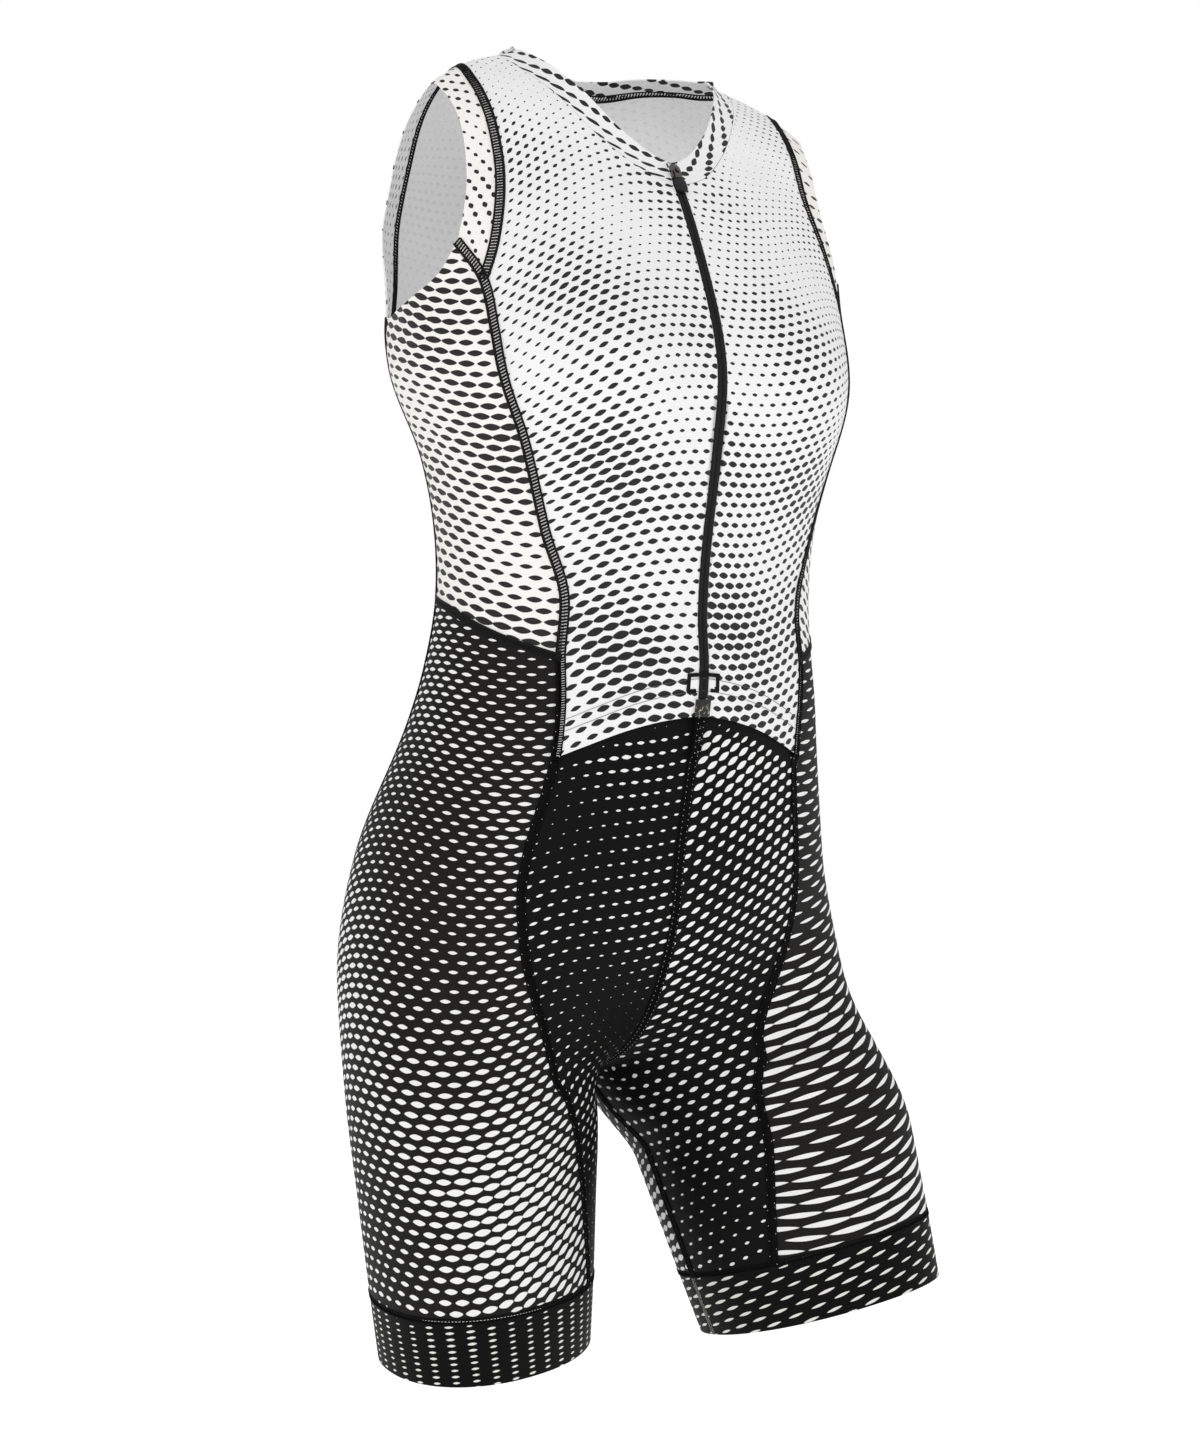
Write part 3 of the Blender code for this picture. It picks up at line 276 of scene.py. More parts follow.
def soften_crotch(drops, grid):
    """Round the crease where the two halves and the two legs meet."""
    centre = np.array([0.0, HIP_Y, -CROTCH_DROP])
    joined = drops <= CROTCH_DROP
    for _ in range(CROTCH_SOFTENING):
        before, after = neighbours(drops, grid)
        wide = np.concatenate([before, grid, after], 1)
        across = (wide[:, :-2] + wide[:, 2:]) / 2
        upper = np.concatenate([grid[:1], grid[:-1]])
        lower = np.concatenate([grid[1:], grid[-1:]])
        mean = (across * 2 + upper + lower) / 4
        weight = SOFTEN_SHARE * np.exp(-(((grid - centre) / SOFTEN_REACH) ** 2).sum(-1, keepdims=True))
        grid = grid + (mean - grid) * weight
        grid[joined, 0, 0] = 0
        grid[joined, -1, 0] = 0
    return grid


def build_surface():
    """Points over (drop, around) of the left half before its stance, with a margin beyond each end."""
    drops, grid = half_body()
    grid = soften_crotch(drops, grid)
    behind = int(DROP_BEHIND / DROP_STEP)
    before, after = neighbours(drops, grid)
    wide = np.concatenate([before, grid, after], 1)
    wide = np.concatenate([wide[behind:0:-1, ::-1], wide])
    return np.concatenate([wide[:1], wide, wide[-1:]])


SURFACE = build_surface()


def cubic(t):
    """Weights of the four grid lines round a place, t being its share of the way between the inner two."""
    return np.stack([-t**3 + 2 * t**2 - t, 3 * t**3 - 5 * t**2 + 2,
                     -3 * t**3 + 4 * t**2 + t, t**3 - t**2], -1) / 2


def at_rest(around, drop):
    """A point of the left half before its stance, read smoothly from the grid."""
    u = around * AROUND_STEPS
    v = (drop + DROP_BEHIND) / DROP_STEP
    iu = np.clip(np.floor(u).astype(int), 0, AROUND_STEPS - 1)
    iv = np.clip(np.floor(v).astype(int), 0, len(SURFACE) - 4)
    wu, wv = cubic(u - iu), cubic(v - iv)
    point = 0.0
    for i in range(4):
        for j in range(4):
            point = point + (wv[..., i] * wu[..., j])[..., None] * SURFACE[iv + i, iu + j]
    return point


def take_stance(point, around, drop, side):
    """Step, swing and splay a leg about the hip, then turn and shift the hips."""
    ends = np.abs(np.cos(np.pi * around)) ** INNER_POWER
    start = POSE_FROM + (CROTCH_DROP - POSE_FROM) * ends
    share = smoothstep((drop - start) / (POSE_OVER + (INNER_OVER - POSE_OVER) * ends))
    swing, splay = np.radians(SWING[side]) * share, np.radians(SPLAY[side]) * share
    hip = np.array([HIP_ACROSS, HIP_Y, -HIP_DROP])
    x, y, z = np.moveaxis(point + share[..., None] * STEP[side] - hip, -1, 0)
    y, z = y * np.cos(swing) + z * np.sin(swing), z * np.cos(swing) - y * np.sin(swing)
    x, z = x * np.cos(splay) - z * np.sin(splay), z * np.cos(splay) + x * np.sin(splay)
    x, y, z = np.moveaxis(np.stack([x, y, z], -1) + hip, -1, 0)
    if side == "right":
        x = -x
    turned = smoothstep((drop - SHIFT_FROM) / SHIFT_OVER)
    turn = np.radians(HIP_TURN) * turned
    x, y = x * np.cos(turn) - (y - HIP_Y) * np.sin(turn), (y - HIP_Y) * np.cos(turn) + x * np.sin(turn)
    return np.stack([x + HIP_SHIFT * turned, y + HIP_Y, z], -1)


def surface(around, drop, side):
    around, drop = np.broadcast_arrays(np.asarray(around, float), np.asarray(drop, float))
    return take_stance(at_rest(around, drop), around, drop, side)


def normal(around, drop, side):
    """The direction out of the garment, square to its surface."""
    around, drop = np.broadcast_arrays(np.asarray(around, float), np.asarray(drop, float))
    aside, below = NORMAL_STEP
    before, after = np.maximum(around - aside, 0), np.minimum(around + aside, 1)
    along = surface(after, drop, side) - surface(before, drop, side)
    down = surface(around, drop + below, side) - surface(around, drop - below, side)
    out = np.cross(down, along)
    middle = (np.abs(around - 0.5) > 0.5 - 1e-9) & (drop < CROTCH_DROP)
    out[..., 0] = np.where(middle, 0, out[..., 0])
    return unit(out) * (1 if side == "left" else -1)


def lift(around, drop):
    """How far the fronts stand out over the shorts near their free hem."""
    zip_part = ZIP_LIFT * np.exp(-(around / ZIP_LIFT_REACH) ** 2)
    return smoothstep((drop - LIFT_FROM) / LIFT_OVER) * (OVERLAP_LIFT + zip_part)


# ---- panels as grids of (around, drop) ----
def ways(points, axis=0):
    """For each point of a line or a grid, the way to it from the first one along an axis."""
    step = np.linalg.norm(np.diff(points, axis=axis), axis=-1)
    return np.insert(np.cumsum(step, axis=axis), 0, 0.0, axis=axis)


def divide(points, joints, counts):
    """Points along a seam, evenly spaced on the cloth between its joints."""
    points = np.asarray(points, float)
    length = ways(points * STRETCH)
    fine = []
    for start, stop, count in zip(joints[:-1], joints[1:], counts):
        t = np.linspace(length[start], length[stop], READ_STEPS)
        dense = through(length, points, t)
        run = ways(at_rest(dense[:, 0], dense[:, 1]))
        even = np.interp(np.linspace(0, run[-1], count + 1), run, t)
        fine.append(through(length, points, even)[(1 if fine else 0):])
    return np.concatenate(fine)


def simple(points, count):
    return divide(points, (0, len(points) - 1), (count,))


def spaced(row, first, last, count):
    """Places evenly spaced on the cloth along a row, from a first to a last way along it."""
    run = ways(at_rest(row[:, 0], row[:, 1]))
    wanted = np.linspace(first, min(last, run[-1]), count)
    return np.stack([np.interp(wanted, run, row[:, k]) for k in (0, 1)], -1)


def straight(around, top, bottom, count):
    """Points down a line of the same around."""
    return simple(np.linspace((around, top), (around, bottom), STRAIGHT_KNOTS), count)


def join(*parts):
    """Lines one after the other, without the point that two of them share."""
    return np.concatenate([parts[0]] + [p[1:] for p in parts[1:]])


def behind(points):
    """The same place written from the back: around counted from the centre front, drop negative."""
    return np.stack([1 - points[:, 0], -points[:, 1]], -1)


def patch(left, right, bottom, top):
    """Fill a four-sided panel between its edges; rows run from bottom to top, columns left to right."""
    rows, columns = len(left), len(bottom)
    v = np.linspace(0, 1, rows)[:, None, None]
    u = np.linspace(0, 1, columns)[None, :, None]
    ruled = left[:, None] * (1 - u) + right[:, None] * u + bottom[None] * (1 - v) + top[None] * v
    corners = (bottom[0] * (1 - u) * (1 - v) + bottom[-1] * u * (1 - v)
               + top[0] * (1 - u) * v + top[-1] * u * v)
    return ruled - corners


def seams():
    """The side front and side back seams, and the armhole strip's seam and edge, as even points."""
    side_front = divide(SIDE_FRONT, SIDE_FRONT_JOINTS, (N_ENDS, N_SIDE, N_FLAP_TOP, N_FLAP, N_LEG))
    n_back = (N_ENDS, N_BACK_UPPER, N_BACK_BLACK, N_FLAP_TOP + N_FLAP + N_LEG)
    side_back = divide(SIDE_BACK, SIDE_BACK_JOINTS, n_back)
    armhole = divide(ARMHOLE_SEAM, ARMHOLE_SEAM_JOINTS, (N_ARM_FRONT, N_ARM_BACK))
    edge = divide(ARMHOLE_EDGE, ARMHOLE_EDGE_JOINTS, (N_ARM_FRONT, N_ARM_BACK))
    return side_front, side_back, armhole, edge


def flat_panels():
    """Each panel of one half as a grid of (around, drop), with the inset of its four edges."""
    side_front, side_back, armhole, edge = seams()
    # steps down the side front seam to the waist seam, the shorts' upper edge and the fronts' hem
    waist = N_ENDS + N_SIDE
    top = waist + N_FLAP_TOP
    flap = top + N_FLAP
    # steps down the side back seam to the back's waist seam and the side's
    back_waist = N_ENDS + N_BACK_UPPER
    side_waist = back_waist + N_BACK_BLACK
    gap = SEAM_GAP / 2
    arm_front, arm_back = armhole[:N_ARM_FRONT + 1], armhole[N_ARM_FRONT:]

    neck_front = simple(NECK_FRONT, N_ARM_FRONT)
    front_left = join(straight(0.0, FRONT_HEM[0][1], NECK_FRONT[0][1], N_ZIP), neck_front)
    front_right = join(side_front[N_ENDS:flap + 1][::-1], arm_front)
    front = patch(front_left, front_right, simple(FRONT_HEM, N_FRONT), simple(SHOULDER_SEAM, N_FRONT))
    front = np.array([spaced(row, 0, math.inf, len(row)) for row in front])

    strip = patch(edge, armhole, side_front[:N_ENDS + 1], behind(side_back[:N_ENDS + 1]))

    neck_back = behind(simple(NECK_BACK, N_NECK_BACK)[::-1])
    back_left = join(straight(1.0, BACK_WAIST[-1][1], -NECK_BACK[-1][1], N_CENTRE_BACK), neck_back)
    back_right = join(side_back[N_ENDS:back_waist + 1][::-1], behind(arm_back[::-1]))
    shoulder_back = behind(simple(SHOULDER_SEAM, N_BACK))
    back = patch(back_left, back_right, simple(BACK_WAIST, N_BACK)[::-1], shoulder_back)

    side = patch(side_front[:waist + 1][::-1], side_back[:side_waist + 1][::-1],
                 simple(WAIST_SEAM, N_HIP), simple(UNDERARM_EDGE, N_HIP))

    inseam = straight(0.0, CROTCH_DROP, BAND_DROP, N_INSEAM)
    front_rows = len(side_front) - 1 - top
    centre = straight(0.0, SHORTS_TOP[0][1], CROTCH_DROP, front_rows - N_INSEAM)
    a_front, a_back = SIDE_FRONT[-1][0], SIDE_BACK[-1][0]

    def band_line(a0, a1, count):
        return np.linspace((a0, BAND_DROP), (a1, BAND_DROP), count + 1)

    shorts_front = patch(join(centre, inseam)[::-1], side_front[top:][::-1],
                         band_line(0.0, a_front, N_SHORTS_FRONT), simple(SHORTS_TOP, N_SHORTS_FRONT))
    shorts_side = patch(side_front[waist:][::-1], side_back[side_waist:][::-1],
                        band_line(a_front, a_back, N_HIP), simple(WAIST_SEAM, N_HIP))
    back_rows = len(side_back) - 1 - back_waist
    centre_back = straight(1.0, BACK_WAIST[-1][1], CROTCH_DROP, back_rows - N_INSEAM)
    inseam_back = straight(1.0, CROTCH_DROP, BAND_DROP, N_INSEAM)
    shorts_back = patch(side_back[back_waist:][::-1], join(centre_back, inseam_back)[::-1],
                        band_line(a_back, 1.0, N_BACK), simple(BACK_WAIST, N_BACK))

    zip_edge = [ZIP_HALF] * N_ZIP + [gap] * N_ARM_FRONT
    back_edge = [0] * N_CENTRE_BACK + [gap] * N_NECK_BACK
    # what each edge keeps from the seam line: left, right, bottom, top
    return {
        "front": (front, (zip_edge, gap, 0, gap)),
        "armhole": (strip, (0, gap, gap, gap)),
        "back": (back, (back_edge, gap, gap, gap)),
        "side": (side, (gap, gap, gap, 0)),
        "shorts_front": (shorts_front, (gap, gap, gap, 0)),
        "shorts_side": (shorts_side, (gap, gap, gap, gap)),
        "shorts_back": (shorts_back, (gap, gap, gap, gap)),
    }


def border(rows, columns):
    """The vertices round a grid, and for each of its steps the edge it runs along."""
    bottom = [(0, j) for j in range(columns - 1)]
    right = [(i, columns - 1) for i in range(rows - 1)]
    top = [(rows - 1, j) for j in range(columns - 1, 0, -1)]
    left = [(i, 0) for i in range(rows - 1, 0, -1)]
    edges = ([("bottom", k) for k in range(columns - 1)] + [("right", k) for k in range(rows - 1)]
             + [("top", k) for k in range(columns - 2, -1, -1)]
             + [("left", k) for k in range(rows - 2, -1, -1)])
    return bottom + right + top + left, edges


def draw_in(points, out, insets):
    """Move the border of a panel inward, within its surface, by the inset of each edge."""
    loop, edges = border(*points.shape[:2])
    inset = dict(zip(("left", "right", "bottom", "top"), insets))
    amount = [inset[e][k] if isinstance(inset[e], list) else inset[e] for e, k in edges]
    ring = np.array([points[v] for v in loop])
    step = unit(np.roll(ring, -1, axis=0) - ring)
    i, j = (n // 2 for n in points.shape[:2])
    facing = np.cross(points[i, j] - points[i, j - 1], points[i, j] - points[i - 1, j])
    sign = 1 if facing @ out[i, j] > 0 else -1
    moved = points.copy()
    for k, vertex in enumerate(loop):
        n = out[vertex]
        m1, m2 = (sign * unit(np.cross(n, t)) for t in (step[k - 1], step[k]))
        o1, o2 = amount[k - 1], amount[k]
        c = float(m1 @ m2)
        if c > STRAIGHT:
            shift = unit(m1 + m2) * (o1 + o2) / 2
        else:
            shift = m1 * (o1 - c * o2) / (1 - c * c) + m2 * (o2 - c * o1) / (1 - c * c)
        inner = tuple(min(max(v, 1), size - 2) for v, size in zip(vertex, points.shape))
        toward = points[inner] - points[vertex]
        height = toward @ n
        run = toward - height * n
        moved[vertex] = points[vertex] + shift + n * height * (shift @ run) / (run @ run + 1e-9)
    return moved


def collar_path(seam, inward, height, turn):
    """The band leaves the seam along the cloth, then turns upright."""
    place, track = seam, [seam]
    for k in range(COLLAR_STEPS):
        t = (k + 0.5) / COLLAR_STEPS
        way = unit(inward + (2 * t * turn)[:, None] * UP)
        place = place + way * (height / COLLAR_STEPS)[:, None]
        track.append(place)
    return np.array(track)[::COLLAR_STEPS // N_COLLAR]


def collar_half(side):
    """Grid of the collar from the centre front to the centre back, rows from the seam upward."""
    neck = join(simple(NECK_FRONT, N_ARM_FRONT), simple(NECK_BACK, N_NECK_BACK))
    around, drop = neck[:, 0], neck[:, 1]
    seam = surface(around, drop, side)
    out = normal(around, drop, side)
    along = unit(np.gradient(seam, axis=0))
    along[0] = along[-1] = (1, 0, 0) if side == "left" else (-1, 0, 0)
    along[-1] = -along[-1]
    inward = unit(np.cross(out, along)) * (1 if side == "left" else -1)
    way = np.linspace(0, 1, len(neck))
    height, turn = (np.interp(way, *zip(*table)) for table in (COLLAR_HEIGHT, COLLAR_RISE))
    return collar_path(seam, inward, height, turn)


def collar_points():
    """Grid of the whole collar from right to left, rows from the seam upward, and its outward directions."""
    left, right = collar_half("left"), collar_half("right")
    points = np.concatenate([right, left[:, -2::-1]], 1)
    out = unit(np.cross(np.gradient(points, axis=1), np.gradient(points, axis=0)))
    away = (points - NECK_AXIS) * np.array([1.0, 1.0, 0.0])
    out = out * np.sign((out * away).sum(-1, keepdims=True).mean())
    return draw_in(points, out, (ZIP_HALF, ZIP_HALF, SEAM_GAP / 2, 0)), out


def band_points(side):
    """Grid round a leg band, rows from the hem upward, and its outward directions."""
    around = np.linspace(0, 1, N_SHORTS_FRONT + N_HIP + N_BACK + 1)[:-1]
    around, drop = np.meshgrid(around, np.linspace(HEM_DROP, BAND_DROP, N_BAND + 1))
    out = normal(around, drop, side)
    points = surface(around, drop, side)
    points[-1] += unit(points[-2] - points[-1]) * SEAM_GAP
    return points, out


# ---- creases: soft troughs (+) and ridges (-) pressed into the cloth ----
CREASE_COLUMNS = ("side", "around", "drop", "to_around", "to_drop", "width", "depth")
CREASES = (
    ("left", 0.018, 590, 0.128, 656, 3.4, 1.5),
    ("left", 0.040, 604, 0.104, 662, 3.0, -0.8),
    ("left", 0.078, 640, 0.190, 634, 5.0, 0.9),
    ("left", 0.070, 672, 0.230, 712, 7.0, 1.2),
    ("left", 0.150, 700, 0.330, 690, 8.0, 0.7),
    ("right", 0.004, 590, 0.120, 616, 3.6, 1.1),
    ("right", 0.012, 604, 0.100, 628, 3.2, -0.7),
    ("right", 0.050, 645, 0.150, 640, 5.0, -0.6),
    ("right", 0.060, 664, 0.165, 694, 6.0, 1.1),
    ("right", 0.110, 690, 0.250, 720, 8.0, 0.6),
    ("left", 0.880, 690, 0.740, 668, 7.0, 1.3),
    ("left", 0.900, 716, 0.780, 706, 6.0, 0.9),
    ("right", 0.900, 686, 0.760, 676, 7.0, 1.2),
    ("right", 0.910, 712, 0.800, 716, 6.0, 0.8),
    ("left", 0.930, 650, 0.800, 610, 6.0, 1.1),
    ("right", 0.940, 646, 0.810, 622, 6.0, 1.0),
    ("right", 0.330, 180, 0.270, 232, 8.0, 0.8),
    ("left", 0.330, 176, 0.262, 226, 8.0, 0.9),
    ("right", 0.400, 190, 0.470, 236, 9.0, 0.7),
    ("left", 0.410, 196, 0.480, 230, 9.0, 0.6),
    ("right", 0.300, 330, 0.130, 352, 8.0, 0.8),
    ("left", 0.310, 340, 0.120, 360, 8.0, 0.8),
    ("left", 0.620, 356, 0.980, 372, 7.0, 1.3),
    ("right", 0.640, 364, 0.970, 386, 7.0, 1.1),
    ("left", 0.700, 300, 0.950, 290, 9.0, 0.9),
    ("right", 0.720, 292, 0.960, 282, 9.0, 0.9),
)
CREASE_SPAN, CREASE_TAPER = 0.9, 0.7     # share of the half wave that a crease's depth follows, its power
CREASE_BOW = 0.06        # how far a crease bows to the side, as a share of its length

# ---- print: rows of lozenges whose size is graded, a row of the table for each piece ----
PRINT_COLUMNS = ("panel", "side", "across", "across_foot", "down", "down_foot", "turn", "wave",
                 "wave_length", "stagger", "spot", "spot_foot", "swell", "swell_turn", "swell_length",
                 "long", "wide")
PRINTS = (
    ("front", "right", 6.4, 11.0, 5.6, 7.0, 16, 9, 230, 0.5, 0.46, 1.02, 0.30, 40, 120, 0.86, 0.60),
    ("front", "left", 6.2, 9.6, 5.6, 6.6, -12, -8, 200, 0.5, 0.30, 1.04, 0.22, 130, 110, 0.86, 0.64),
    ("back", "both", 7.0, 11.0, 6.0, 7.0, 0, 10, 260, 0.5, 0.50, 0.94, 0.26, 90, 150, 0.82, 0.60),
    ("armhole", "right", 6.6, 6.6, 7.8, 7.8, 62, 0, 90, 0.5, 0.74, 0.88, 0.22, 90, 90, 0.60, 0.40),
    ("armhole", "left", 13.0, 13.0, 9.0, 9.0, 8, 0, 90, 0.5, 0.80, 0.95, 0.15, 90, 130, 0.72, 0.34),
    ("side", "right", 12.0, 12.6, 6.4, 6.8, -12, 7, 190, 0.5, 0.96, 0.92, 0.22, 68, 130, 0.94, 0.64),
    ("side", "left", 12.0, 13.0, 6.6, 7.0, 12, -6, 190, 0.5, 0.94, 0.92, 0.22, 112, 130, 0.94, 0.64),
    ("collar", "both", 9.4, 9.4, 9.0, 9.0, 14, 0, 90, 0.5, 1.0, 1.0, 0.06, 0, 90, 0.88, 0.44),
    ("shorts_front", "right", 9.0, 9.6, 7.6, 7.6, 24, 10, 210, 0.5, 0.63, 0.42, 0.46, 60, 150, 0.74, 0.31),
    ("shorts_front", "left", 10.0, 11.0, 6.6, 8.6, -24, 8, 220, 0.5, 0.92, 0.46, 0.18, 110, 150, 0.84, 0.54),
    ("shorts_side", "right", 13.0, 11.0, 4.6, 7.2, 8, 10, 240, 0.5, 0.70, 0.96, 0.28, 20, 230, 0.82, 0.58),
    ("shorts_side", "left", 22.0, 32.0, 6.4, 7.8, -8, 8, 260, 0.5, 0.64, 1.02, 0.26, 80, 150, 0.90, 0.44),
    ("shorts_back", "right", 12.0, 11.0, 7.0, 7.2, -8, 9, 240, 0.5, 0.50, 0.92, 0.22, 80, 170, 0.84, 0.56),
    ("shorts_back", "left", 12.0, 12.0, 7.0, 7.4, 8, -9, 240, 0.5, 0.50, 0.90, 0.22, 100, 170, 0.84, 0.54),
    ("leg_band", "right", 13.0, 13.0, 4.0, 4.0, 4, 0, 90, 0.0, 0.80, 0.80, 0.14, 0, 80, 0.46, 0.46),
    ("leg_band", "left", 17.0, 17.0, 6.4, 6.4, -10, 0, 90, 0.5, 0.84, 0.84, 0.14, 0, 90, 0.76, 0.34),
)
SWELL_BESIDE = 1.7       # length of a swelling of the spots across its way, as a share of its length
LARGEST_SPOT = 1.25
GRADED = (-0.2, 1.2)     # part of a piece's height over which the spacing may change
SAME_SPACING = 0.01      # change of spacing that counts as none
PRINT_EDGE = (1.7, 2.9)  # way from a seam over which the print sets in
NO_SEAM = 50.0           # way to the nearest seam on a piece whose print runs on to its edges
BARE = (9.0, 402.0, 412.0)               # the fronts' bare place at the zip's end: half width, drops
PLAIN_BELOW, PLAIN_FADE = 12.0, 10.0     # the shorts are plain for a strip below the fronts' hem

# ---- seams: the line each follows, and the width, spacing and thread of its ladder ----
SEAM_LINES = {
    "armhole": ARMHOLE_SEAM, "side_front": SIDE_FRONT, "side_back": SIDE_BACK, "waist": WAIST_SEAM,
    "back_waist": BACK_WAIST, "neck_back": NECK_BACK, "neck_front": NECK_FRONT,
    "centre_front": ((0.0, FRONT_HEM[0][1] - 6), (0.0, CROTCH_DROP)),
    "centre_back": ((1.0, BACK_WAIST[-1][1]), (1.0, CROTCH_DROP)),
    "inseam": ((0.0, CROTCH_DROP), (0.0, BAND_DROP)),
    "band": ((0.0, BAND_DROP), (1.0, BAND_DROP)),
}
SEAM_COLUMNS = ("line", "from_knot", "to_knot", "sides", "yarn", "faces", "width", "pitch", "thread")
SEAMS = (
    ("armhole", 0, 11, "right left", "black", "outer inner", 5.2, 2.00, 0.56),
    ("side_front", 0, 6, "right left", "black", "outer inner", 5.2, 2.00, 0.56),
    ("side_back", 0, 4, "right left", "black", "outer inner", 5.4, 1.10, 0.50),
    ("waist", 0, 4, "right left", "black", "outer inner", 3.8, 1.05, 0.50),
    ("back_waist", 0, 3, "right left", "black", "outer inner", 5.4, 1.05, 0.50),
    ("neck_back", 0, 5, "right left", "black", "inner", 5.8, 2.10, 0.60),
    ("neck_front", 0, 5, "right left", "black", "inner", 5.8, 2.10, 0.60),
    ("side_front", 6, 15, "right left", "charcoal", "outer inner", 5.4, 1.50, 0.42),
    ("side_back", 4, 9, "right left", "charcoal", "outer inner", 5.4, 1.50, 0.42),
    ("centre_front", 0, 1, "left", "charcoal", "outer inner", 5.4, 1.50, 0.42),
    ("centre_back", 0, 1, "left", "charcoal", "outer inner", 5.4, 1.50, 0.42),
    ("inseam", 0, 1, "right left", "charcoal", "outer inner", 5.0, 1.50, 0.42),
    ("band", 0, 1, "right left", "charcoal", "outer inner", 3.0, 2.20, 0.24),
)
EDGE_THREADS = ((1.0, 1.15), (-1.0, 1.6))    # side, and thickness as a share of the thread
RUNG_BULK, RUNG_SLANT = 1.15, 0.28
THREAD_RISE = 0.25       # from the cloth to the middle of a thread
FRONT_REACH = 0.23       # threads on this side of it lie on the fronts where they lift off the shorts
PATH_STEP, LEAST_POINTS = 3.0, 8
HEM_RUNS = (16.0, 24.0)  # heights of the topstitching over the fronts' hem
HEM_PITCH, HEM_STITCH, HEM_THREAD = 1.5, 1.45, 0.16
SPECK_COLUMNS = ("line", "from_knot", "to_knot", "sides", "pitch", "stitch", "zigzag")
SPECKS = (
    ("centre_front", 0, 1, "left", 1.9, 0.50, 4.2),
    ("centre_back", 0, 1, "left", 1.9, 0.50, 4.2),
    ("side_front", 7, 15, "left right", 5.0, 0.55, 4.6),
    ("side_back", 4, 9, "left right", 6.0, 0.55, 4.6),
)
SPECK_THREAD, SPECK_RISE = 0.15, 0.8
# bars of satin stitch that make a box round the zip: (from, to) as (mm from the centre, drop), width, rise
TACKS = (
    ((0.0, 401.6), (10.2, 402.4), 1.8, 1.0),
    ((9.3, 401.6), (9.5, 412.4), 1.9, 0.25),
    ((10.2, 412.4), (4.6, 412.0), 1.6, 0.25),
)
TACK_PITCH, TACK_THREAD = 0.55, 0.30

# ---- zip ----
TAPE_INNER, TAPE_OUTER, TAPE_LEVEL = 1.5, 14.0, -1.8
TAPE_COLUMNS = 5
LIP_INNER, LIP_OUTER, LIP_LEVEL, LIP_THICK, LIP_DOME = 0.22, 3.65, 0.15, 0.5, 0.35
LIP_COLUMNS = 6
COIL_PITCH, COIL_WIDE, COIL_THREAD, COIL_LEVEL = 1.35, 2.1, 0.42, -0.95
COIL_STAGGER = 0.42      # how far each turn lies to its side, as a share of its width
ZIP_ROW = 4.0
HARD_PIECES = (          # node, name, rounding of its corners, finish, slot, body
    ("zip_end", "end_block", 0.25, "end", "zip_moulding", "garment"),
    ("zip_slider", "slider_body", 0.18, "metal", "zip_metal", "garment"),
    ("zip_pull_ring", "pull_ring", 0.16, "metal", "zip_metal", "pull"),
    ("zip_pull_tab", "pull_tab", 0.45, "moulding", "zip_moulding", "pull"),
)
# angles between faces: below the first they are one, over the second their edge is rounded, and over
# the third it stays sharp
FLAT_ANGLE, ROUNDED_ANGLE, KEPT_ANGLE = (math.radians(angle) for angle in (1.5, 25, 40))
ROUNDING_STEPS, ROUNDING_PROFILE = 2, 0.6
WELD, CLOTH_WELD = 0.000002, 0.00001     # metres under which two vertices are one

# ---- shells ----
SHELL, COLLAR_SHELL, TAPE_SHELL = 0.7, 1.3, 0.7      # thickness of the cloth as it shows
FLATTEN_ROUNDS = 12
HOLD = 1000.0            # weight that keeps a straight edge of a flat cut straight
CREASE_EDGE = 8.0        # way from a seam over which the creases set in
PUCKER_LENGTH, PUCKER_DEPTH, PUCKER_REACH, PUCKER_EDGE = 9.0, 0.22, 7.0, 1.5
UNEVEN, UNEVEN_DEPTH = 1.7, 0.5          # length and depth of their second wave, as shares of the first

# ---- finishes ----
SPOT_UNEVEN, SMALLEST_SPOT = 0.16, 0.06
SPOT_POWER = 1.55        # 1 gives the spots straight sides, 2 makes them ellipses
KNIT_DEPTH, KNIT_BUMP = 0.00022, 0.55
KNIT_SHADE, CLOUD_SHADE, CLOUD_SCALE = 0.09, 0.06, 34.0
DARKEST_SHADE = 0.90     # of the knit, before its relief and clouds brighten it
SEAM_SHADE, SEAM_SHADE_REACH = 0.95, 0.006
INK_GLOSS = 0.12         # how much smoother ink is than cloth
BLACK_CLOTH = ((0.62, 0.0), (0.70, 0.0))         # roughness and sheen, outside and inside
WHITE_CLOTH = ((0.68, 0.12), (0.75, 0.12))
SHEEN_ROUGH, WHITE_GLOSS, BLACK_GLOSS = 0.45, 0.30, 0.10
SHINE_THROUGH = 0.15     # light that comes through the white knit to its inside
INSIDE_PRINT, MESH_INSIDE_PRINT = 0.10, 0.75     # how strongly the print shows on the inside
INSIDE_WHITE, INSIDE_DARK = 0.96, 4.0    # the colour of the inside, as a share of the setting
DARK_TONES_AND_PAINTED_SHEEN = {"shorts_side": 3.6, "leg_band": 0.5}      # the shorts' sides in a paler black that is painted sheen, the leg bands in a deeper black, as shares of it
BAND_SPOT = (0.90, 0.885, 0.85)          # the spots of the leg bands are a warmer white
GRAIN_SHADE, GRAIN_ROUGH, GRAIN_BUMP = 0.25, 0.2, 0.5
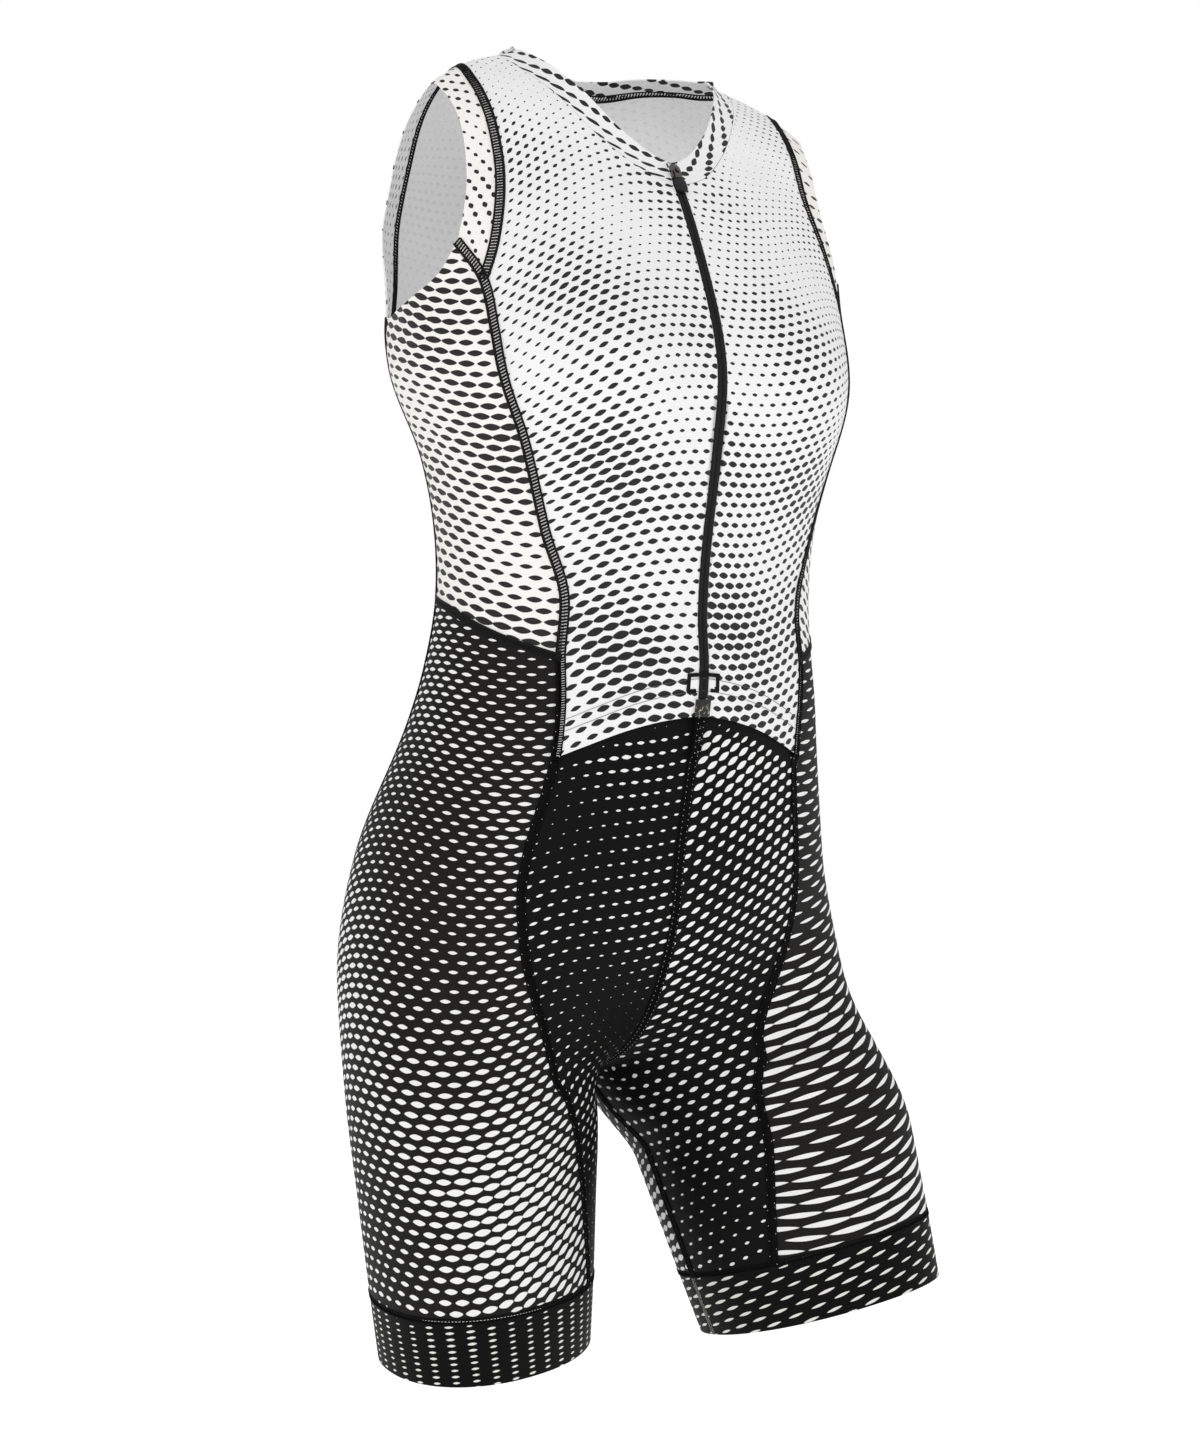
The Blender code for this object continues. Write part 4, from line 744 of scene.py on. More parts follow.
# painted highlights on the zip's end block: pale lines round cells, in patches, on its lower part
HIGHLIGHT_SCALE, HIGHLIGHT_TOP, HIGHLIGHT_FADE = 480.0, -420.0, 2.0
HIGHLIGHT_LINE = (0.09, 0.03)  # distance from a cell's border over which a pale line of the painted highlights sets in
HIGHLIGHT_PATCHES, HIGHLIGHT_PATCH_SCALE = (0.48, 0.60), 0.7
END_ROUGH, PAINTED_HIGHLIGHT_COLOUR, END_COLOUR = 0.5, (0.42, 0.38, 0.32), (0.0050, 0.0050, 0.0052)
TAPE_WARP, TAPE_WEFT, TAPE_DEPTH, TAPE_BUMP = 0.0007, 0.0011, 0.0002, 0.6
TAPE_SHADE, TAPE_DARKEST = 0.7, 0.65
TAPE_ROUGH, TAPE_GLOSS, TAPE_COLOUR = 0.7, 0.25, (0.0052, 0.0052, 0.0056)
FINISHES = (             # key, name, colour, roughness, gloss, metallic, depth of the grain, its scale
    ("charcoal", "charcoal seam yarn", (0.0028, 0.0026, 0.0026), 0.8, 0.10),
    ("grey", "grey topstitch", (0.13, 0.13, 0.14), 0.7, 0.3),
    ("pale", "pale stitches", (0.74, 0.74, 0.74), 0.7, 0.3),
    ("moulding", "moulded black", (0.0060, 0.0060, 0.0064), 0.45, 0.3, 0.0, 0.00004, 500.0),
    ("metal", "dark plated slider", (0.15, 0.142, 0.126), 0.20, 0.5, 1.0, 0.00001, 300.0),
)


def table_rows(columns, rows):
    return [dict(zip(columns, row)) for row in rows]


# ---- what a user may change ----
def colour(name, description, default):
    return bpy.props.FloatVectorProperty(name=name, description=description, default=default,
                                         subtype="COLOR", size=3, min=0, max=1)


class SkinsuitSettings(bpy.types.PropertyGroup):
    """Cloth, print and thread of the skinsuit."""

    ground: colour("White knit", "Colour of the fronts, the back and the collar", (0.88, 0.876, 0.88))
    warm: colour("Side knit", "Colour of the sides and armhole strips", (0.90, 0.887, 0.862))
    ink: colour("Ink", "Colour of the spots on white cloth", (0.0085, 0.0078, 0.0078))
    dark: colour("Black knit", "Colour of the shorts", (0.0030, 0.0027, 0.0026))
    spot: colour("Light spots", "Colour of the spots on black cloth", (0.86, 0.86, 0.855))
    thread: colour("Thread", "Colour of the flat seams on white cloth", (0.0060, 0.0058, 0.0058))
    spot_scale: bpy.props.FloatProperty(
        name="Spot size", description="Scale of every spot of the print", default=1.0, min=0.2, max=1.6,
        subtype="FACTOR")
    knit: bpy.props.FloatProperty(
        name="Knit", description="Spacing of the knit's rows", default=0.0015, min=0.0004, max=0.006,
        unit="LENGTH", subtype="DISTANCE", precision=4)


def settings():
    return bpy.context.scene.skinsuit


# ---- node trees ----
class Graph:
    """Short hand for putting nodes into a tree."""

    def __init__(self, tree):
        self.tree = tree

    def feed(self, node, feeds):
        """Link or set inputs of a node, by name or by number."""
        for key, feed in (feeds.items() if isinstance(feeds, dict) else enumerate(feeds)):
            if isinstance(feed, bpy.types.NodeSocket):
                self.tree.links.new(feed, node.inputs[key])
            else:
                node.inputs[key].default_value = feed
        return node

    def add(self, kind, feeds=(), **values):
        node = self.tree.nodes.new(kind)
        for name, value in values.items():
            setattr(node, name, value)
        return self.feed(node, feeds)

    def math(self, operation, *feeds):
        return self.add("ShaderNodeMath", feeds, operation=operation).outputs[0]

    def vector(self, operation, *feeds, **named):
        feeds = {**dict(enumerate(feeds)), **named}
        return self.add("ShaderNodeVectorMath", feeds, operation=operation).outputs[0]

    def around_one(self, value, spread):
        """A value from 0 to 1 turned into a factor that strays from 1 by half the spread."""
        return self.math("MULTIPLY_ADD", value, spread, 1 - spread / 2)

    def ramp(self, value, low, high, first=0.0, last=1.0, shape="LINEAR"):
        """A value that runs from first to last as another goes from low to high."""
        return self.add("ShaderNodeMapRange", {
            "Value": value, "From Min": low, "From Max": high, "To Min": first, "To Max": last},
            interpolation_type=shape).outputs["Result"]

    def mix(self, share, first, second, blend="MIX"):
        """Mix two colours, each a socket or (red, green, blue)."""
        pair = [c if isinstance(c, bpy.types.NodeSocket) else (*c, 1.0) for c in (first, second)]
        return self.add("ShaderNodeMix", {0: share, 6: pair[0], 7: pair[1]}, data_type="RGBA",
                        blend_type=blend).outputs[2]

    def shaded(self, colour, shade):
        return self.mix(1.0, colour, shade, "MULTIPLY")

    def bump(self, height, strength, distance):
        return self.add("ShaderNodeBump", {
            "Strength": strength, "Distance": distance, "Height": height}).outputs[0]

    def uv(self, name):
        return self.add("ShaderNodeUVMap", uv_map=name).outputs[0]

    def attribute(self, name):
        return self.add("ShaderNodeAttribute", attribute_name=name).outputs["Fac"]

    def object_place(self):
        return self.add("ShaderNodeTexCoord").outputs["Object"]


def make_group(name, kind, inputs, outputs):
    """Start a node group. Returns its graph, its inputs by name and its output node."""
    tree = bpy.data.node_groups.new(name, kind)
    for label, socket, value in inputs:
        made = tree.interface.new_socket(label, in_out="INPUT", socket_type=socket)
        if value is not None:
            made.default_value = value
    for label, socket in outputs:
        tree.interface.new_socket(label, in_out="OUTPUT", socket_type=socket)
    graph = Graph(tree)
    return graph, graph.add("NodeGroupInput").outputs, graph.add("NodeGroupOutput")


def lozenge_print():
    """Mask of staggered rows of lozenges in print coordinates, one unit to a spacing."""
    graph, given, out = make_group("lozenge print", "ShaderNodeTree", (
        ("Place", "NodeSocketVector", None), ("Spot", "NodeSocketFloat", 1.0),
        ("Long", "NodeSocketFloat", 0.8), ("Wide", "NodeSocketFloat", 0.6),
        ("Stagger", "NodeSocketFloat", 0.5), ("Edge", "NodeSocketFloat", 0.10)),
        (("Mask", "NodeSocketFloat"),))
    split = graph.add("ShaderNodeSeparateXYZ", (given["Place"],)).outputs
    row = graph.math("FLOOR", split["Y"])
    odd = graph.math("PINGPONG", row, 1.0)
    along = graph.math("ADD", split["X"], graph.math("MULTIPLY", odd, given["Stagger"]))
    cell = graph.add("ShaderNodeCombineXYZ", (graph.math("FLOOR", along), row)).outputs[0]
    chance = graph.add("ShaderNodeTexWhiteNoise", {"Vector": cell}, noise_dimensions="2D").outputs["Value"]
    size = graph.math("MULTIPLY", given["Spot"], graph.around_one(chance, SPOT_UNEVEN))
    powers = []
    for value, share in ((along, "Long"), (split["Y"], "Wide")):
        centred = graph.math("ABSOLUTE", graph.math("SUBTRACT", graph.math("FRACT", value), 0.5))
        half = graph.math("MULTIPLY", graph.math("MULTIPLY", size, given[share]), 0.5)
        powers.append(graph.math("POWER", graph.math("DIVIDE", centred, half), SPOT_POWER))
    inside = graph.ramp(graph.math("ADD", *powers), graph.math("ADD", 1.0, given["Edge"]),
                        graph.math("SUBTRACT", 1.0, given["Edge"]), shape="SMOOTHSTEP")
    shown = graph.math("GREATER_THAN", size, SMALLEST_SPOT)
    graph.feed(out, {"Mask": graph.math("MULTIPLY", inside, shown)})
    return graph.tree


def knit_relief():
    """Height and shade of a fine knit in cloth coordinates, in metres."""
    graph, given, out = make_group("knit relief", "ShaderNodeTree", (
        ("Place", "NodeSocketVector", None), ("Spacing", "NodeSocketFloat", 0.0015)),
        (("Height", "NodeSocketFloat"), ("Shade", "NodeSocketFloat")))
    split = graph.add("ShaderNodeSeparateXYZ", (given["Place"],)).outputs
    turns = [graph.math("DIVIDE", split[axis], given["Spacing"]) for axis in ("X", "Y")]
    wale = graph.math("SINE", graph.math("MULTIPLY", turns[0], 2 * math.pi))
    course = graph.math("SINE", graph.math("MULTIPLY_ADD", turns[1], 2 * math.pi, wale))
    height = graph.math("MULTIPLY_ADD", graph.math("ADD", wale, course), 0.25, 0.5)
    cloud = graph.add("ShaderNodeTexNoise", {
        "Vector": given["Place"], "Scale": CLOUD_SCALE, "Detail": 3.0, "Roughness": 0.6}).outputs[0]
    cloudy = graph.math("MULTIPLY_ADD", cloud, CLOUD_SHADE, DARKEST_SHADE)
    graph.feed(out, {"Height": height, "Shade": graph.math("MULTIPLY_ADD", height, KNIT_SHADE, cloudy)})
    return graph.tree


def group_node(graph, make, name, feeds):
    """Place a shared group, made the first time it is asked for."""
    tree = bpy.data.node_groups.get(name) or make()
    return graph.add("ShaderNodeGroup", feeds, node_tree=tree).outputs


# ---- materials ----
def new_material(name):
    made = bpy.data.materials.new(name)
    made.use_nodes = True
    return made, Graph(made.node_tree), made.node_tree.nodes["Principled BSDF"]


def printed_knit(name, look, ground, ink, roughness, sheen, fade=1.0, glow=0.0):
    """Knit with its print; fade is how strongly the print shows, below 1 on the inside.

    The glow stands for the light that comes through thin white cloth.
    """
    made, graph, shader = new_material(name)
    edge = graph.attribute("edge")
    begins = graph.ramp(edge, *(way * MM for way in PRINT_EDGE))
    spot = graph.math("MULTIPLY", graph.math("MULTIPLY", graph.attribute("spot"), begins),
                      settings().spot_scale)
    mask = group_node(graph, lozenge_print, "lozenge print", {
        "Place": graph.uv("print"), "Spot": spot, "Long": look["long"], "Wide": look["wide"],
        "Stagger": look["stagger"]})["Mask"]
    mask = graph.math("MULTIPLY", mask, fade)
    knit = group_node(graph, knit_relief, "knit relief", {
        "Place": graph.uv("cloth"), "Spacing": settings().knit})
    colour = graph.shaded(graph.mix(mask, ground, ink), knit["Shade"])
    colour = graph.shaded(colour, graph.ramp(edge, 0.0, SEAM_SHADE_REACH, SEAM_SHADE, 1.0))
    graph.feed(shader, {
        "Base Color": colour, "Roughness": graph.math("MULTIPLY_ADD", mask, -INK_GLOSS * fade, roughness),
        "Normal": graph.bump(knit["Height"], KNIT_BUMP, KNIT_DEPTH), "Sheen Weight": sheen,
        "Sheen Roughness": SHEEN_ROUGH, "Specular IOR Level": WHITE_GLOSS if sheen else BLACK_GLOSS})
    if glow:
        graph.feed(shader, {"Emission Color": colour, "Emission Strength": glow})
    return made


def plain_finish(name, colour, roughness, gloss, metallic=0.0, grain=0.00004, scale=900.0):
    """Thread, moulded plastic or metal with a fine grain on Object coordinates."""
    made, graph, shader = new_material(name)
    noise = graph.add("ShaderNodeTexNoise", {
        "Vector": graph.object_place(), "Scale": scale, "Detail": 4.0, "Roughness": 0.6}).outputs[0]
    graph.feed(shader, {
        "Base Color": graph.shaded(colour, graph.around_one(noise, GRAIN_SHADE)),
        "Roughness": graph.math("MULTIPLY_ADD", noise, GRAIN_ROUGH, roughness - GRAIN_ROUGH / 2),
        "Normal": graph.bump(noise, GRAIN_BUMP, grain), "Metallic": metallic, "Specular IOR Level": gloss})
    return made


def block_with_painted_highlights(name):
    """Black plastic with painted highlights on its lower part: pale lines round cells, in patches."""
    made, graph, shader = new_material(name)
    place = graph.object_place()
    cells = graph.add("ShaderNodeTexVoronoi", {"Vector": place, "Scale": HIGHLIGHT_SCALE},
                      feature="DISTANCE_TO_EDGE").outputs["Distance"]
    height = graph.add("ShaderNodeSeparateXYZ", (place,)).outputs["Z"]
    low = graph.ramp(height, HIGHLIGHT_TOP * MM, (HIGHLIGHT_TOP - HIGHLIGHT_FADE) * MM)
    patches = graph.add("ShaderNodeTexNoise", {
        "Vector": place, "Scale": HIGHLIGHT_SCALE * HIGHLIGHT_PATCH_SCALE}).outputs[0]
    # where the painted highlights lie: along cell borders, low on the block, in patches
    mask = graph.math("MULTIPLY", graph.math("MULTIPLY", graph.ramp(cells, *HIGHLIGHT_LINE), low),
                      graph.ramp(patches, *HIGHLIGHT_PATCHES))
    graph.feed(shader, {"Base Color": graph.mix(mask, END_COLOUR, PAINTED_HIGHLIGHT_COLOUR), "Roughness": END_ROUGH})
    return made


def woven_tape(name):
    """Black tape with the relief of its weave."""
    made, graph, shader = new_material(name)
    split = graph.add("ShaderNodeSeparateXYZ", (graph.uv("cloth"),)).outputs
    warp, weft = (graph.math("SINE", graph.math("MULTIPLY", split[axis], 2 * math.pi / spacing))
                  for axis, spacing in (("X", TAPE_WARP), ("Y", TAPE_WEFT)))
    height = graph.math("MULTIPLY_ADD", graph.math("MULTIPLY", warp, weft), 0.5, 0.5)
    graph.feed(shader, {
        "Base Color": graph.shaded(TAPE_COLOUR, graph.math("MULTIPLY_ADD", height, TAPE_SHADE, TAPE_DARKEST)),
        "Normal": graph.bump(height, TAPE_BUMP, TAPE_DEPTH), "Roughness": TAPE_ROUGH,
        "Specular IOR Level": TAPE_GLOSS})
    return made


MATERIALS = {}


def look_of(panel, side):
    for look in table_rows(PRINT_COLUMNS, PRINTS):
        if look["panel"] == panel and look["side"] in (side, "both"):
            return look
    raise ValueError(f"no print for {panel} {side}")


def knit_pair(look):
    """The outside and the inside of one printed piece."""
    s, panel = settings(), look["panel"]

    def tone(colour, share=1.0):
        return tuple(float(value) for value in np.array(colour) * share)

    if panel.startswith("shorts") or panel == "leg_band":
        spot = tone(s.spot, BAND_SPOT if panel == "leg_band" else 1.0)
        # the shorts' sides are made paler by painted sheen; the leg bands are a deeper black
        outside = (tone(s.dark, DARK_TONES_AND_PAINTED_SHEEN.get(panel, 1.0)), spot, *BLACK_CLOTH[0])
        inside = (tone(s.dark, INSIDE_DARK), spot, *BLACK_CLOTH[1])
        glow = 0.0
    else:
        ground = s.ground if panel in ("front", "back", "collar") else s.warm
        outside = (tone(ground), tone(s.ink), *WHITE_CLOTH[0])
        inside = (tone(s.ground, INSIDE_WHITE), tone(s.ink), *WHITE_CLOTH[1])
        glow = SHINE_THROUGH
    fade = MESH_INSIDE_PRINT if panel == "armhole" else INSIDE_PRINT
    name = f"{panel} {look['side']} knit"
    return (printed_knit(name, look, *outside),
            printed_knit(f"{name} inside", look, *inside, fade=fade, glow=glow))


def finishes():
    """The materials, made once."""
    if MATERIALS:
        return MATERIALS
    for look in table_rows(PRINT_COLUMNS, PRINTS):
        pair = knit_pair(look)
        for side in (("left", "right") if look["side"] == "both" else (look["side"],)):
            MATERIALS[look["panel"], side] = pair
    MATERIALS["black"] = plain_finish("black seam yarn", tuple(settings().thread), 0.7, 0.15)
    for key, *values in FINISHES:
        MATERIALS[key] = plain_finish(*values)
    MATERIALS["tape"] = woven_tape("woven zip tape")
    MATERIALS["end"] = block_with_painted_highlights("zip end with painted highlights")
    return MATERIALS


# ---- shells ----
def crease_depth(around, drop, side):
    """Depth of the creases at a place on the cloth."""
    depth = np.zeros_like(around)
    for crease in table_rows(CREASE_COLUMNS, CREASES):
        if crease["side"] != side:
            continue
        start = np.array([crease["around"], crease["drop"]]) * STRETCH
        run = np.array([crease["to_around"], crease["to_drop"]]) * STRETCH - start
        place = np.stack([around, drop], -1) * STRETCH - start
        along = np.clip(place @ run / (run @ run), 0, 1)
        bow = np.sin(np.pi * along) * CREASE_BOW * np.linalg.norm(run)
        across = np.array([-run[1], run[0]]) / np.linalg.norm(run)
        away = np.linalg.norm(place - along[..., None] * run - bow[..., None] * across, axis=-1)
        taper = np.sin(np.pi * (along * CREASE_SPAN + (1 - CREASE_SPAN) / 2)) ** CREASE_TAPER
        depth += crease["depth"] * taper * np.exp(-(away / crease["width"]) ** 2)
    return depth


def border_distance(points, free=()):
    """For each point of a grid, the way along the cloth to the nearest edge that isn't free."""
    down, along = ways(points, 0), ways(points, 1)
    edges = {"bottom": down, "top": down[-1:] - down, "left": along, "right": along[:, -1:] - along}
    return np.min([way for name, way in edges.items() if name not in free], axis=0)


def cloth_place(points, datum=0):
    """Flat coordinates in millimetres: across from the datum column, and down from the top edge."""
    across, up = ways(points, 1), ways(points, 0)
    return across - across[:, [datum]], up[-1:] - up


def flatten(points, held_rows=0):
    """Lay a curved panel flat as its cut, keeping lengths; rows that are held start on a straight edge.

    Returns for each point the way across and the way up, in millimetres.
    """
    rest = points[::FINE, ::FINE]
    rows, columns = rest.shape[:2]
    index = np.arange(rows * columns).reshape(rows, columns)
    a, b, c, d = index[:-1, :-1], index[:-1, 1:], index[1:, 1:], index[1:, :-1]
    corners = np.concatenate([np.stack([v.ravel() for v in three], -1)
                              for three in ((a, b, c), (a, c, d), (a, b, d), (b, c, d))])
    place = rest.reshape(-1, 3)
    one, two = (place[corners[:, k]] - place[corners[:, 0]] for k in (1, 2))
    length = np.linalg.norm(one, axis=-1)
    zero = np.zeros_like(length)
    local = np.stack([zero, zero, length, zero, (one * two).sum(-1) / length,
                      np.linalg.norm(np.cross(one, two), axis=-1) / length], -1).reshape(-1, 3, 2)
    step = np.roll(local, -1, axis=1) - local
    ends = np.roll(corners, -1, axis=1)
    pull = np.zeros((len(place), len(place)))
    for first, second, sign in ((corners, corners, 1), (ends, ends, 1),
                                (corners, ends, -1), (ends, corners, -1)):
        np.add.at(pull, (first, second), sign)
    held = index[:held_rows // FINE + 1, 0]
    pull_x, pull_y = pull.copy(), pull.copy()
    pull_x[held, held] += HOLD
    pull_y[0, 0] += HOLD
    across, down = cloth_place(rest)
    flat = np.stack([across.ravel(), down.max() - down.ravel()], -1)
    for _ in range(FLATTEN_ROUNDS):
        edge = flat[ends] - flat[corners]
        fit = np.einsum("tei,tej->tij", edge, step)
        angle = np.arctan2(fit[:, 1, 0] - fit[:, 0, 1], fit[:, 0, 0] + fit[:, 1, 1])[:, None]
        turned = np.stack([step[..., 0] * np.cos(angle) - step[..., 1] * np.sin(angle),
                           step[..., 0] * np.sin(angle) + step[..., 1] * np.cos(angle)], -1)
        want = np.zeros_like(flat)
        np.add.at(want, ends, turned)
        np.add.at(want, corners, -turned)
        flat = np.stack([np.linalg.solve(pull_x, want[:, 0]), np.linalg.solve(pull_y, want[:, 1])], -1)
    flat = flat.reshape(rows, columns, 2)
    if not held_rows:
        flat = flat - flat.mean((0, 1))
        line = flat[-1].mean(0) - flat[0].mean(0)
        line = line / np.linalg.norm(line)
        flat = np.stack([flat[..., 0] * line[1] - flat[..., 1] * line[0], flat @ line], -1)
    for full in points.shape[:2]:
        flat = through(np.arange(len(flat)) * FINE, flat, np.arange(full)).swapaxes(0, 1)
    return flat[..., 0], flat[..., 1]


def print_place(across, down, look):
    """Print coordinates, one unit to a spacing, and the size of the spot at each point."""
    height = down.max()
    y = down + look["wave"] * np.sin(2 * np.pi * across / look["wave_length"])
    turn = np.radians(look["turn"])

    def spacing(first, last):
        """The spacing at each point, and how many of them lie above it."""
        grown = first + (last - first) * np.clip(y / height, *GRADED)
        if abs(last - first) < SAME_SPACING:
            return grown, y / first
        return grown, height / (last - first) * np.log(grown / first)

    wide, wide_steps = spacing(look["across"], look["across_foot"])
    tall, tall_steps = spacing(look["down"], look["down_foot"])
    u = across * np.cos(turn) / wide + np.sin(turn) * wide_steps
    v = np.cos(turn) * tall_steps - across * np.sin(turn) / tall
    share = smoothstep(down / height)
    way = np.radians(look["swell_turn"])
    along = (across * np.cos(way) + y * np.sin(way)) / look["swell_length"]
    beside = (y * np.cos(way) - across * np.sin(way)) / (look["swell_length"] * SWELL_BESIDE)
    swell = np.sin(2 * np.pi * along) * np.cos(2 * np.pi * beside)
    spot = look["spot"] + (look["spot_foot"] - look["spot"]) * share + look["swell"] * swell
    return np.stack([u, v], -1), np.clip(spot, 0.0, LARGEST_SPOT)


def new_object(name, data):
    made = bpy.data.objects.new(name, data)
    bpy.context.collection.objects.link(made)
    return made


class Shell:
    """Grids of cloth gathered into one mesh with an outside, an inside and a cut edge."""

    def __init__(self):
        self.points, self.faces, self.kinds, self.values = [], [], [], []
        self.count = 0

    def add(self, outer, inner, cloth, place, spot, edge, joined=0):
        """Add a grid; the first rows of its left edge that are joined get no cut edge."""
        rows, columns = outer.shape[:2]
        half = rows * columns
        index = np.arange(half).reshape(rows, columns) + self.count

        def quads(*corners):
            return np.stack([corner.ravel() for corner in corners], -1)

        face = quads(index[:-1, :-1], index[:-1, 1:], index[1:, 1:], index[1:, :-1])
        rims = [(index[0, 1:], index[0, :-1]), (index[-1, :-1], index[-1, 1:]),
                (index[joined:-1, 0], index[joined + 1:, 0]), (index[1:, -1], index[:-1, -1])]
        rim = np.concatenate([quads(a, b, b + half, a + half) for a, b in rims])
        self.faces += [face, face[:, ::-1] + half, rim]
        self.kinds += [np.zeros(len(face), int), np.ones(len(face), int), np.full(len(rim), 2)]
        self.points += [outer.reshape(-1, 3), inner.reshape(-1, 3)]
        self.values += [np.concatenate([cloth.reshape(-1, 2) * MM, place.reshape(-1, 2),
                                        spot.reshape(-1, 1), edge.reshape(-1, 1) * MM], 1)] * 2
        self.count += 2 * half

    def build(self, name, outside, inside):
        mesh = bpy.data.meshes.new(name)
        points = np.concatenate(self.points) * MM
        faces, kinds, values = (np.concatenate(v) for v in (self.faces, self.kinds, self.values))
        mesh.from_pydata(points.tolist(), [], faces.tolist())
        corners = np.empty(len(mesh.loops), int)
        mesh.loops.foreach_get("vertex_index", corners)
        for label, columns in (("cloth", slice(0, 2)), ("print", slice(2, 4))):
            mesh.uv_layers.new(name=label).data.foreach_set("uv", values[corners, columns].ravel())
        for label, column in (("spot", 4), ("edge", 5)):
            mesh.attributes.new(label, "FLOAT", "POINT").data.foreach_set("value", values[:, column])
        for finish in (outside, inside):
            mesh.materials.append(finish)
        mesh.polygons.foreach_set("material_index", (kinds == 1).astype(int))
        mesh.polygons.foreach_set("use_smooth", kinds < 2)
        work = bmesh.new()
        work.from_mesh(mesh)
        bmesh.ops.remove_doubles(work, verts=work.verts, dist=CLOTH_WELD)
        bmesh.ops.recalc_face_normals(work, faces=work.faces)
        for edge in work.edges:
            if len({face.smooth for face in edge.link_faces}) > 1:
                edge.smooth = False
        work.to_mesh(mesh)
        work.free()
        return new_object(name, mesh)


def pucker(points, out, edge, along):
    """Small waves of the cloth beside its seams."""
    turns = 2 * np.pi * along
    wave = np.sin(turns / PUCKER_LENGTH) + UNEVEN_DEPTH * np.sin(turns / (PUCKER_LENGTH * UNEVEN))
    depth = PUCKER_DEPTH * wave * np.exp(-edge / PUCKER_REACH) * smoothstep(edge / PUCKER_EDGE)
    return points - out * depth[..., None]


def panel_sheet(shell, name, grid, side, insets, free, held_rows=0, joined=0):
    """Lay one panel into a shell: drawn in at its seams, creased and puckered. Returns its flat cut."""
    around, drop = grid[..., 0], grid[..., 1]
    out = normal(around, drop, side)
    points = surface(around, drop, side)
    across, up = flatten(points, held_rows)
    down = up.max() - up
    if name == "front":
        points = points + out * lift(around, drop)[..., None]
    points = draw_in(points, out, insets)
    edge = border_distance(points, free)
    points = points - out * (crease_depth(around, drop, side) * smoothstep(edge / CREASE_EDGE))[..., None]
    points = pucker(points, out, edge, down + across)
    sign = -1 if side == "right" else 1
    place, spot = print_place(across * (sign if name == "back" else 1), down, look_of(name, side))
    if name == "front":
        half, top, bottom = BARE
        spot = np.where((across < half) & (drop > top) & (drop < bottom), 0.0, spot)
    elif name == "shorts_front":
        hem = np.interp(around, *np.array(FRONT_HEM).T)
        spot = spot * smoothstep((drop - hem - PLAIN_BELOW + PLAIN_FADE) / PLAIN_FADE)
    cloth = np.stack([across * sign, down], -1)
    shell.add(points, points - out * SHELL, cloth, place, spot, edge, joined=joined)
    return across, up


def stand_for(made, node, body):
    """Let a piece stand for its solid, whose mesh is hidden, and ride on a body."""
    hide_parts(node)
    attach(made, body)


def finish_cloth(made, node):
    """Let a shell stand for its solid and ride on the garment."""
    stand_for(made, node, "garment")


# ---- threads along a path, as geometry nodes ----
def thread_group(name, lengths, output):
    """Start a tree that lays thread along paths. Its inputs are the paths, some lengths and the yarn."""
    return make_group(name, "GeometryNodeTree", (
        ("Path", "NodeSocketGeometry", None),
        *((label, "NodeSocketFloat", value) for label, value in lengths),
        ("Yarn", "NodeSocketMaterial", None)), ((output, "NodeSocketGeometry"),))


def divided(graph, path, step):
    """The path as a curve with a point at every step, and its directions along, outward and across."""
    curve = graph.add("GeometryNodeMeshToCurve", {"Mesh": path}).outputs["Curve"]
    curve = graph.add("GeometryNodeResampleCurve", {"Curve": curve, "Length": step},
                      mode="LENGTH").outputs["Curve"]
    outward = graph.add("GeometryNodeInputNamedAttribute", {"Name": "outward"},
                        data_type="FLOAT_VECTOR").outputs["Attribute"]
    tangent = graph.add("GeometryNodeInputTangent").outputs["Tangent"]
    return curve, tangent, outward, graph.vector("CROSS_PRODUCT", outward, tangent)


def shifted(graph, curve, across, way):
    offset = graph.vector("SCALE", across, Scale=way)
    return graph.add("GeometryNodeSetPosition", {"Geometry": curve, "Offset": offset}).outputs[0]


def staggered(graph, curve, across, way):
    """The curve with its points moved to one side and to the other in turn."""
    number = graph.add("GeometryNodeInputIndex").outputs[0]
    side = graph.math("MULTIPLY_ADD", graph.math("PINGPONG", number, 1.0), 2.0, -1.0)
    return shifted(graph, curve, across, graph.math("MULTIPLY", side, way))


def tube(graph, curve, radius, sides=6):
    profile = graph.add("GeometryNodeCurvePrimitiveCircle", {"Resolution": sides, "Radius": radius})
    return graph.add("GeometryNodeCurveToMesh", {
        "Curve": curve, "Profile Curve": profile.outputs["Curve"], "Fill Caps": True}).outputs["Mesh"]


def rod(graph, ends, radius, sides=6):
    """A straight tube between two places given as (x, y)."""
    start, end = (graph.add("ShaderNodeCombineXYZ", (*place, 0.0)).outputs[0] for place in ends)
    line = graph.add("GeometryNodeCurvePrimitiveLine", {"Start": start, "End": end}).outputs["Curve"]
    return tube(graph, line, radius, sides)


def copies(graph, curve, piece, way, outward):
    """A copy of the piece on every point of the curve, its x along the way and its z outward."""
    turn = graph.add("FunctionNodeAxesToRotation", {0: way, 1: outward},
                     primary_axis="X", secondary_axis="Z").outputs[0]
    return graph.add("GeometryNodeInstanceOnPoints", {
        "Points": curve, "Instance": piece, "Rotation": turn}).outputs["Instances"]


def put_out(graph, out, threads, yarn):
    real = graph.add("GeometryNodeRealizeInstances", {0: threads}).outputs[0]
    graph.feed(out, graph.add("GeometryNodeSetMaterial", {"Geometry": real, "Material": yarn}).outputs[:1])
    return graph.tree


